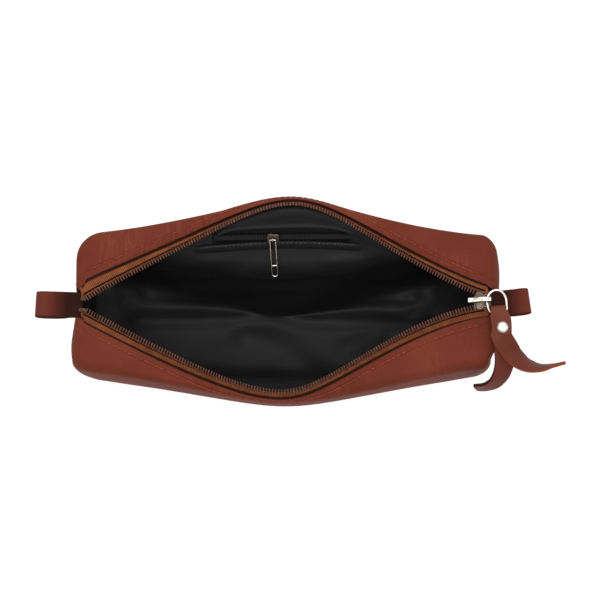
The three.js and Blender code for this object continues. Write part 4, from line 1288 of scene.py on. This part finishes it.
def band(name, places, edge_finish, face_finish):
    """A leather strip with rounded edges through places: each a centre, a direction across, a normal, a width
    and a thickness."""
    corners = ((1, 1), (-1, 1), (-1, -1), (1, -1))
    steps, spread = 4, 5
    rings = []
    for centre, across, normal, width, thick in places:
        radius = thick * 0.35
        ring = []
        for corner, (u, w) in enumerate(corners):
            for k in range(steps):
                angle = math.pi / 2 * (corner + k / (steps - 1))
                aside = u * (width / 2 - radius) + radius * math.cos(angle)
                above = w * (thick / 2 - radius) + radius * math.sin(angle)
                ring.append(centre + across * aside + normal * above)
            if corner in (0, 2):
                last, goal = ring[-1], centre + across * -u * (width / 2 - radius) + normal * w * thick / 2
                ring += [last.lerp(goal, k / (spread + 1)) for k in range(1, spread + 1)]
        rings.append(ring + ring[:1])
    edges = (range(0, 2), range(10, 15), range(23, 27))
    piece = lofted(name, rings, pattern_of(rings), lambda j: 1 if any(j in edge for edge in edges) else 0)
    give(piece, face_finish, edge_finish)
    edit(merge(piece), cap_ends)
    second_finish(piece, lambda face: face.material_index or len(face.vertices) > 8)
    return smooth(outward(piece), 50)


# The end loops

for name, end in (("right", 1), ("left", -1)):
    aside, turn, more = LOOP_PLACE[end]
    reach = LOOP_REACH + more
    path = spots((-2.6, 3.75), (-1, 3.8), (1, 3.8))
    bend(path, (6, 3.6), (reach, LOOP_HALF_GAP), 8)
    for k in range(1, 13):
        angle = math.pi * k / 12
        path.append(Vector((reach + LOOP_HALF_GAP * math.sin(angle), LOOP_HALF_GAP * math.cos(angle))))
    bend(path, (8.5, -LOOP_HALF_GAP), (5.5, 0), 7)
    bend(path, (3.6, 2.3), (0.5, 2.35), 5)
    path += spots((-1, 2.35), (-2.6, 2.3))
    spin = Matrix.Rotation(turn, 3, "Z")
    places = []
    for i, point in enumerate(path):
        before, after = beside(path, i)
        ahead = (after - before).normalized()
        centre = spin @ Vector((end * (point.x + 2), 0, 0))
        centre += Vector((end * LOOP_FROM_MIDDLE, aside, LOOP_HEIGHT + point.y))
        normal = spin @ Vector((-ahead.y * end, 0, ahead.x))
        places.append((centre, spin @ Vector((0, 1, 0)), normal, LOOP_WIDTH, STRAP))
    loop = band(f"{name}_end_loop", places, PAINTED_EDGE, LEATHER_LOOP)
    finish(loop, LEATHER_LOOP, [f"{name}_loop"])


# The slider and its crown


def slider_outline(front_x, length, wings, rear):
    """The top view of a slider: wide wings in front that narrow to the rear."""
    half = [Vector((length / 12, 0))]
    bend(half, (0, wings / 4), (length / 8, wings / 2.2), 5)
    bend(half, (length / 6, wings / 2), (length / 3, wings / 2), 4)
    bend(half, (length / 2, wings / 2), (length * 0.6, rear / 2), 6)
    half.append(Vector((length * 0.917, rear / 2)))
    bend(half, (length, rear / 2), (length, rear / 3), 4)
    whole = half + [Vector((p.x, -p.y)) for p in half[:0:-1]]
    return [(front_x + p.x, p.y) for p in whole]


def slider_pieces(front_x, length, widths, channel, thick, wedge):
    """Both plates of a slider, the wedge between them and the flanges at its rear."""
    (wings, rear), (low, high) = widths, channel
    outline = slider_outline(front_x, length, wings, rear)
    top = plate("top", outline, high, high + thick, thick * 0.3, 2, sunk=(wings * 0.08, thick * 0.3))
    bottom = plate("bottom", outline, low - thick, low, thick * 0.4, 3)
    width, start = wedge[0], front_x + length / 9
    shares = ((0, -1 / 3), (1 / 3, -1 / 2), (1, -1 / 6), (1, 1 / 6), (1 / 3, 1 / 2), (0, 1 / 3))
    outline = [(start + wedge[1] * u, width * w) for u, w in shares]
    post = plate("post", outline, low - thick / 2, high + thick / 2, 0.1, 1)
    flanges = []
    for side in (1, -1):
        corners = ((0.58, 0.75), (0.93, 0.75), (0.93, 0.05), (0.58, 0.05))
        rail = [(front_x + length * share, side * (rear / 2 - inset)) for share, inset in corners]
        flanges.append(plate("flange", rail, high - 0.5, high + thick / 2, 0.15, 2))
        flanges.append(plate("flange", rail, low - thick / 2, low + 0.5, 0.15, 2))
    pieces = [top, bottom, post] + flanges
    for piece in pieces:
        # The sunk middle of the top plate takes the darker nickel as painted shade in the recess
        give(piece, NICKEL, NICKEL_SHADED)
    return pieces


pieces = slider_pieces(*MAIN_SLIDER)
finish(joined("slider_body", pieces), NICKEL, ["main_slider_body"], "slider_assembly")


def on_crown(share, height):
    """A point of the crown's side view, at this share of its arch."""
    return Vector((CROWN_TONGUE + (CROWN_LENGTH - CROWN_TONGUE) * share, height))


under, over = CROWN_HEIGHTS
lip = CROWN_PLATE / 2
profile = spots((0, lip))
bend(profile, (0, 0), (lip, 0), 4)
profile += [on_crown(0.34, 0), on_crown(0.38, 1.6)]
bend(profile, on_crown(0.44, under), on_crown(0.62, under), 6)
bend(profile, on_crown(0.8, under), on_crown(0.82, 0), 6)
profile.append(on_crown(0.93, 0))
bend(profile, on_crown(1, over), on_crown(0.6, over), 9)
bend(profile, on_crown(0.3, over), (CROWN_TONGUE * 0.7, CROWN_PLATE * 1.2), 8)
profile.append(Vector((lip, CROWN_PLATE)))
bend(profile, (0, CROWN_PLATE), (0, lip), 4)
profile.pop()
crown = plate("crown", [(p.x, p.y) for p in profile], -CROWN_HALF, CROWN_HALF, 0.35, 3)
# Painted shade: the crown's sides and its right end take the darker nickel
second_finish(crown, lambda face: abs(face.normal.z) > 0.4 or face.center.x > 11.3 * MM)
moved(crown, Matrix.Translation((CROWN_FRONT, 0, CROWN_LOW)) @ Matrix.Rotation(math.pi / 2, 4, "X"))
finish(crown, (NICKEL_BRIGHT, NICKEL_SHADED), ["main_slider_crown"], "slider_assembly")


# The ring. It and the strap are made flat, with the tunnel of the crown at the origin

RING_PLACE = Matrix.Translation(TUNNEL) @ Matrix.Rotation(-RING_TILT, 4, "Y")

path = []
for k in range(RING_STEPS):
    angle = 2 * math.pi * k / RING_STEPS
    power = 0.5 if math.sin(angle) < 0 else 1
    across = math.copysign(abs(math.cos(angle)) ** power, math.cos(angle))
    ahead = math.copysign(abs(math.sin(angle)) ** power, math.sin(angle))
    narrow = 1.2 * max(-ahead, 0) * (1 - 0.7 * (1 + across) / 2)
    path.append(Vector((RING_HALF[0] * (1 + across) + narrow, -RING_FORWARD + RING_HALF[1] * ahead, 0)))
ring = tube("ring", path, RING_WIRE / 2, sides=14, closed=True)
moved(ring, RING_PLACE)
finish(ring, NICKEL_BRIGHT, ["pull_ring"], "ring_assembly")


# The strap: its neck round the bar of the ring, and its two tails

# Each tail's route from the rivet, in shares of its length: across, away from the ring and down
TAILS = {
    "front": (
        (0.0, 0.035, 0.0), (0.07, 0.14, 0.06), (0.175, 0.265, 0.16), (0.33, 0.347, 0.27),
        (0.49, 0.37, 0.37), (0.63, 0.36, 0.435), (0.815, 0.325, 0.47),
    ),
    "rear": (
        (0.0, 0.035, 0.0), (0.03, 0.13, 0.08), (0.05, 0.335, 0.19), (0.01, 0.49, 0.28),
        (-0.06, 0.575, 0.37), (-0.16, 0.612, 0.43), (-0.29, 0.615, 0.47),
    ),
}
# How far each tail has turned on edge, in shares of the full twist
TWISTS = {"front": (0, 0, 0.1, 0.3, 0.6, 0.88, 1), "rear": (0, 0, 0.12, 0.4, 0.72, 0.92, 1)}
FULL_TWIST = math.radians(84)


def tail_places(name, layer_z, steps):
    """Places of one tail, from inside the end of the neck to its tip."""
    start = Vector((STRAP_X, RIVET.y - FLAT_REACH + 0.6, layer_z))
    turn = Matrix.Rotation(RING_TILT, 3, "Y")
    route = [start]
    for across, away, down in TAILS[name]:
        route.append(start + turn @ (Vector((across, -away, -down)) * TAIL_LENGTH))
    found = []
    for k in range(steps + 1):
        share = k / steps
        point, ahead = through(route, share)
        before, after, past = between_stops(TWISTS[name], share)
        twist = (before + (after - before) * past) * FULL_TWIST
        level = ahead.cross(UP).normalized().lerp(Vector((-1, 0, 0)), eased(1 - share * 10))
        level = (level - ahead * level.dot(ahead)).normalized()
        above = level.cross(ahead).normalized()
        across = level * math.cos(twist) + above * math.sin(twist)
        thick = STRAP + 0.06 + 0.4 * eased(share * 1.6 - 0.4)
        found.append((point, across, across.cross(ahead).normalized(), STRAP_WIDTH + 0.06, thick))
    return found


def flat_layer(sign):
    """Places of one layer of the neck, from the fold round the bar to just past the rivet."""
    layer_z = RIVET.z + sign * LAYER_IN
    route = spots(
        (NECK_X, FOLD_Y, sign * LAYER_OUT),
        (NECK_X + 0.5, BAR_Y - 1.2, sign * LAYER_OUT),
        (STRAP_X, RIVET.y + FLAT_REACH, layer_z),
        (STRAP_X, RIVET.y - FLAT_REACH, layer_z),
    )
    widths = (NECK_SPREAD, STRAP_WIDTH - 0.2, STRAP_WIDTH, STRAP_WIDTH)
    found = []
    steps = 18
    for k in range(steps + 1):
        point, ahead = through(route, k / steps)
        before, after, past = between_stops(widths, k / steps)
        level = eased(min(k, steps - k) / 3)
        ahead = ahead.lerp(Vector((0, -1, 0)), 1 - level).normalized()
        across = ahead.cross(UP).normalized()
        width = before + (after - before) * eased(past)
        found.append((point, across, across.cross(ahead).normalized(), width, STRAP))
    return found


def placed(places):
    """Puts places of the strap where the ring holds it."""
    turn = RING_PLACE.to_3x3()
    return [(RING_PLACE @ c, turn @ a, turn @ n, w, t) for c, a, n, w, t in places]


fold = []
for k in range(1, 12):
    angle = math.pi * k / 12
    away = Vector((0, math.sin(angle), -math.cos(angle)))
    centre = Vector((NECK_X, FOLD_Y, 0)) + away * LAYER_OUT
    width = STRAP_NECK + (NECK_SPREAD - STRAP_NECK) * abs(math.cos(angle)) ** 3
    fold.append((centre, Vector((-1, 0, 0)), away, width, STRAP))
lower = [(c, a, -n, w, t) for c, a, n, w, t in flat_layer(-1)][::-1]
neck = band("strap_neck", placed(lower + fold + flat_layer(1)), PAINTED_EDGE, LEATHER_STRAP)
finish(neck, LEATHER_STRAP, ["pull_strap"], "strap_assembly")

for name, sign, edge in (("front", 1, RAW_EDGE), ("rear", -1, PAINTED_EDGE)):
    tail = band(f"{name}_tail", placed(tail_places(name, RIVET.z + sign * LAYER_IN, 44)), edge, LEATHER_STRAP)
    finish(tail, LEATHER_STRAP, ["pull_strap"], "strap_assembly")
    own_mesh(tail)


# The rivet: a domed cap in a rolled rim, and the pin with its lower head

radius = RIVET_DIAMETER / 2
half_stack = STRAP + 0.15
dome = [(2.3 * math.sin(a), 0.62 + 0.52 * math.cos(a)) for a in (math.pi / 2 * k / 9 for k in range(10))]
dome += [(2.4, 0.5), (2.5, 0.46), (2.68, 0.5), (2.82, 0.5), (2.93, 0.42)]
dome += [(radius, 0.28), (2.96, 0.12), (2.8, 0.02), (0, 0)]
cap = turned("rivet_dome", dome)
second_finish(cap, lambda face: face.center.xy.length > 2.35 * MM)
moved(cap, RING_PLACE @ Matrix.Translation((RIVET.x, RIVET.y, RIVET.z + half_stack + 0.15)))
finish(cap, (NICKEL_CAP, NICKEL), ["rivet_cap"], "strap_assembly")

shank_top = 2 * half_stack + 0.7
post = [(0, 0), (2.2, 0), (2.7, 0.12), (2.95, 0.35), (2.9, 0.7), (1.2, 0.7), (1.2, shank_top), (0, shank_top)]
pin = turned("rivet_pin", post)
moved(pin, RING_PLACE @ Matrix.Translation((RIVET.x, RIVET.y, RIVET.z - half_stack - 0.85)))
finish(pin, NICKEL, ["rivet_post"], "strap_assembly")


# The pocket's zip, made flat with its middle at the origin

POCKET_LOOP = spots(
    (0.0, 0.6, 0.2), (-0.04, 0.1, 0.24), (0.0, -0.5, 0.18), (0.05, -0.62, -0.1), (0.15, 0.6, -0.2)
)


def pocket_arch(x):
    """The pocket's zip bows up very slightly with the mouth's arch."""
    return 0.3 - 0.0003 * (x - 5) ** 2


for name, side in (("upper", 1), ("lower", -1)):
    rings = []
    for k in range(91):
        x = -POCKET_HALF + 2 * POCKET_HALF * k / 90
        outs = [POCKET_TAPE_OUT + POCKET_TAPE_WIDTH * j / 4 for j in range(5)]
        rings.append([Vector((x, pocket_arch(x) + side * out, -POCKET_TAPE_UNDER)) for out in outs])
    tape = moved(strip(f"pocket_{name}_cloth", rings, side, CLOTH), POCKET)
    finish(smooth(tape, 50), POCKET_CLOTH, [f"pocket_{name}_tape"])

    loop = tube("loop", POCKET_LOOP, POCKET_COIL_WIRE, sides=6, up=Vector((1, 0, 0)))
    places = []
    for k in range(POCKET_TEETH):
        x = -POCKET_HALF + 1.5 + (2 * POCKET_HALF - 3) * (k + 0.5) / POCKET_TEETH
        spot = Vector((x, pocket_arch(x) + side * POCKET_COIL_OUT, 0))
        places.append(POCKET @ axes(spot, Vector((side, 0, 0)), Vector((0, side, 0)), UP))
    coil = copies(f"pocket_{name}_coil", loop, places)
    finish(smooth(coil, 60), POCKET_COIL, [f"pocket_{name}_chain"])

# The folded edges of the lining over the pocket's zip, and the line of stitches on the lower one
WELTS = {
    "upper": [
        (-37, -3.5), (-34, 0.0), (-30, 2.6), (-24, 4.2), (0, 5.4), (17, 5.3), (27, 4.2), (35, 1.6), (41, -1.5)
    ],
    "lower": [
        (-51, -5.9), (-40, -4.2), (-28, -3.3), (-12, -2.3), (5, -1.9), (22, -2.5), (35, -3.4), (44, -4.6)
    ],
}
WELT_SECTION = ((0, -0.35), (0.15, 0.1), (0.6, 0.25), (1.6, 0.1), (3.0, -0.4), (4.2, -1.1), (5.4, -2.2))
WELT_STEPS = 60
for name, side, reach in (("upper", 1, 0.6), ("lower", -1, 1)):
    line = WELTS[name]
    rings = []
    for k in range(WELT_STEPS + 1):
        spot, ahead = through([Vector((x, y, 0)) for x, y in line], k / WELT_STEPS)
        lift = eased(min(k, WELT_STEPS - k) / 8)
        outs = [out * reach for out, up in WELT_SECTION]
        heights = [up * lift - 1.9 * (1 - lift) for out, up in WELT_SECTION]
        rings.append([spot + Vector((0, side * out, z)) for out, z in zip(outs, heights)])
    welt = moved(strip(f"pocket_{name}_welt", rings, side, WELT), POCKET)
    finish(smooth(welt), SATIN)

stitch = tube("stitch", spots((-0.4, 0, 0), (0, 0, 0.06), (0.4, 0, 0)), POCKET_STITCH_WIRE, sides=6)
places = []
for k in range(7, 45):
    spot, ahead = through([Vector((x, y - 0.6, 0.6)) for x, y in WELTS["lower"]], (k + 0.5) / 52)
    places.append(POCKET @ axes(spot, ahead, UP.cross(ahead), UP))
finish(copies("pocket_stitches", stitch, places), GREY_THREAD)


# The pocket's slider, its pull and the bag behind it

pieces = slider_pieces(*POCKET_SLIDER)
arch = spots((-1.5, 0), (-1.35, 1.4))
bend(arch, (-1.2, 2.4), (0, 2.4), 5)
arch += [Vector((-p.x, p.y)) for p in arch[-2::-1]]
arch += spots((0.75, 0), (0.7, 0.9), (0, 1.35), (-0.7, 0.9), (-0.75, 0))
bridge = plate("bridge", [(p.x, p.y) for p in arch], -0.6, 0.6, 0.2, 2)
upright = Matrix.Rotation(math.pi / 2, 4, "Z") @ Matrix.Rotation(math.pi / 2, 4, "X")
moved(bridge, Matrix.Translation((PULL_X, 0, 1.4)) @ upright)
give(bridge, NICKEL)
pocket_slider = moved(joined("pocket_slider_body", pieces + [bridge]), POCKET)
finish(pocket_slider, NICKEL, ["pocket_slider"], "pocket_slider_assembly")

wire = [Vector((PULL_HALF_WIDTH, -PULL_REACH * k / 19, 0)) for k in range(20)]
for k in range(1, 12):
    angle = -math.pi * k / 12
    across, ahead = PULL_HALF_WIDTH * math.cos(angle), PULL_HALF_WIDTH * math.sin(angle)
    wire.append(Vector((across, -PULL_REACH + ahead, 0)))
wire += [Vector((-PULL_HALF_WIDTH, PULL_REACH * (k / 19 - 1), 0)) for k in range(20)]
frame_wire = tube("frame", wire, PULL_WIRE, sides=10, closed=True)
cross = tube("cross", [Vector((x * PULL_HALF_WIDTH, -14.8, 0)) for x in (-1, 0, 1)], 0.4, 8)
lean = Matrix.Rotation(math.radians(5), 4, "X") @ Matrix.Rotation(math.radians(2.5), 4, "Z")
pull = joined("pocket_tag", [frame_wire, cross])
moved(pull, POCKET @ Matrix.Translation((PULL_X, 0, 2.7)) @ lean)
finish(pull, NICKEL_BRIGHT, ["pocket_pull"], "pocket_pull_assembly")

# The bag's left end, length, top and depth, where its rear layer hangs, how far that sags, and how far the
# other layer is from it
BAG_LEFT = -37.7
BAG_LENGTH = 71.4
BAG_TOP = 55.6
BAG_DEPTH = 44
BAG_Y = 31.6
BAG_SAG = 0.4
BAG_GAP = 2.4
rings = []
for k in range(25):
    x = BAG_LEFT + BAG_LENGTH * k / 24
    rear = []
    for j in range(17):
        sag = BAG_SAG * math.sin(math.pi * j / 16)
        rear.append(Vector((x, BAG_Y - sag, BAG_TOP - BAG_DEPTH * j / 16)))
    rings.append(rear + [Vector((p.x, p.y - BAG_GAP, p.z)) for p in rear[::-1]])
bag = thicken(lofted("pocket_bag_cloth", rings, pattern_of(rings)), CLOTH, offset=0)
finish(smooth(bag, 50), POCKET_CLOTH, ["pocket_bag"])

bpy.context.scene.view_settings.view_transform = "Standard"
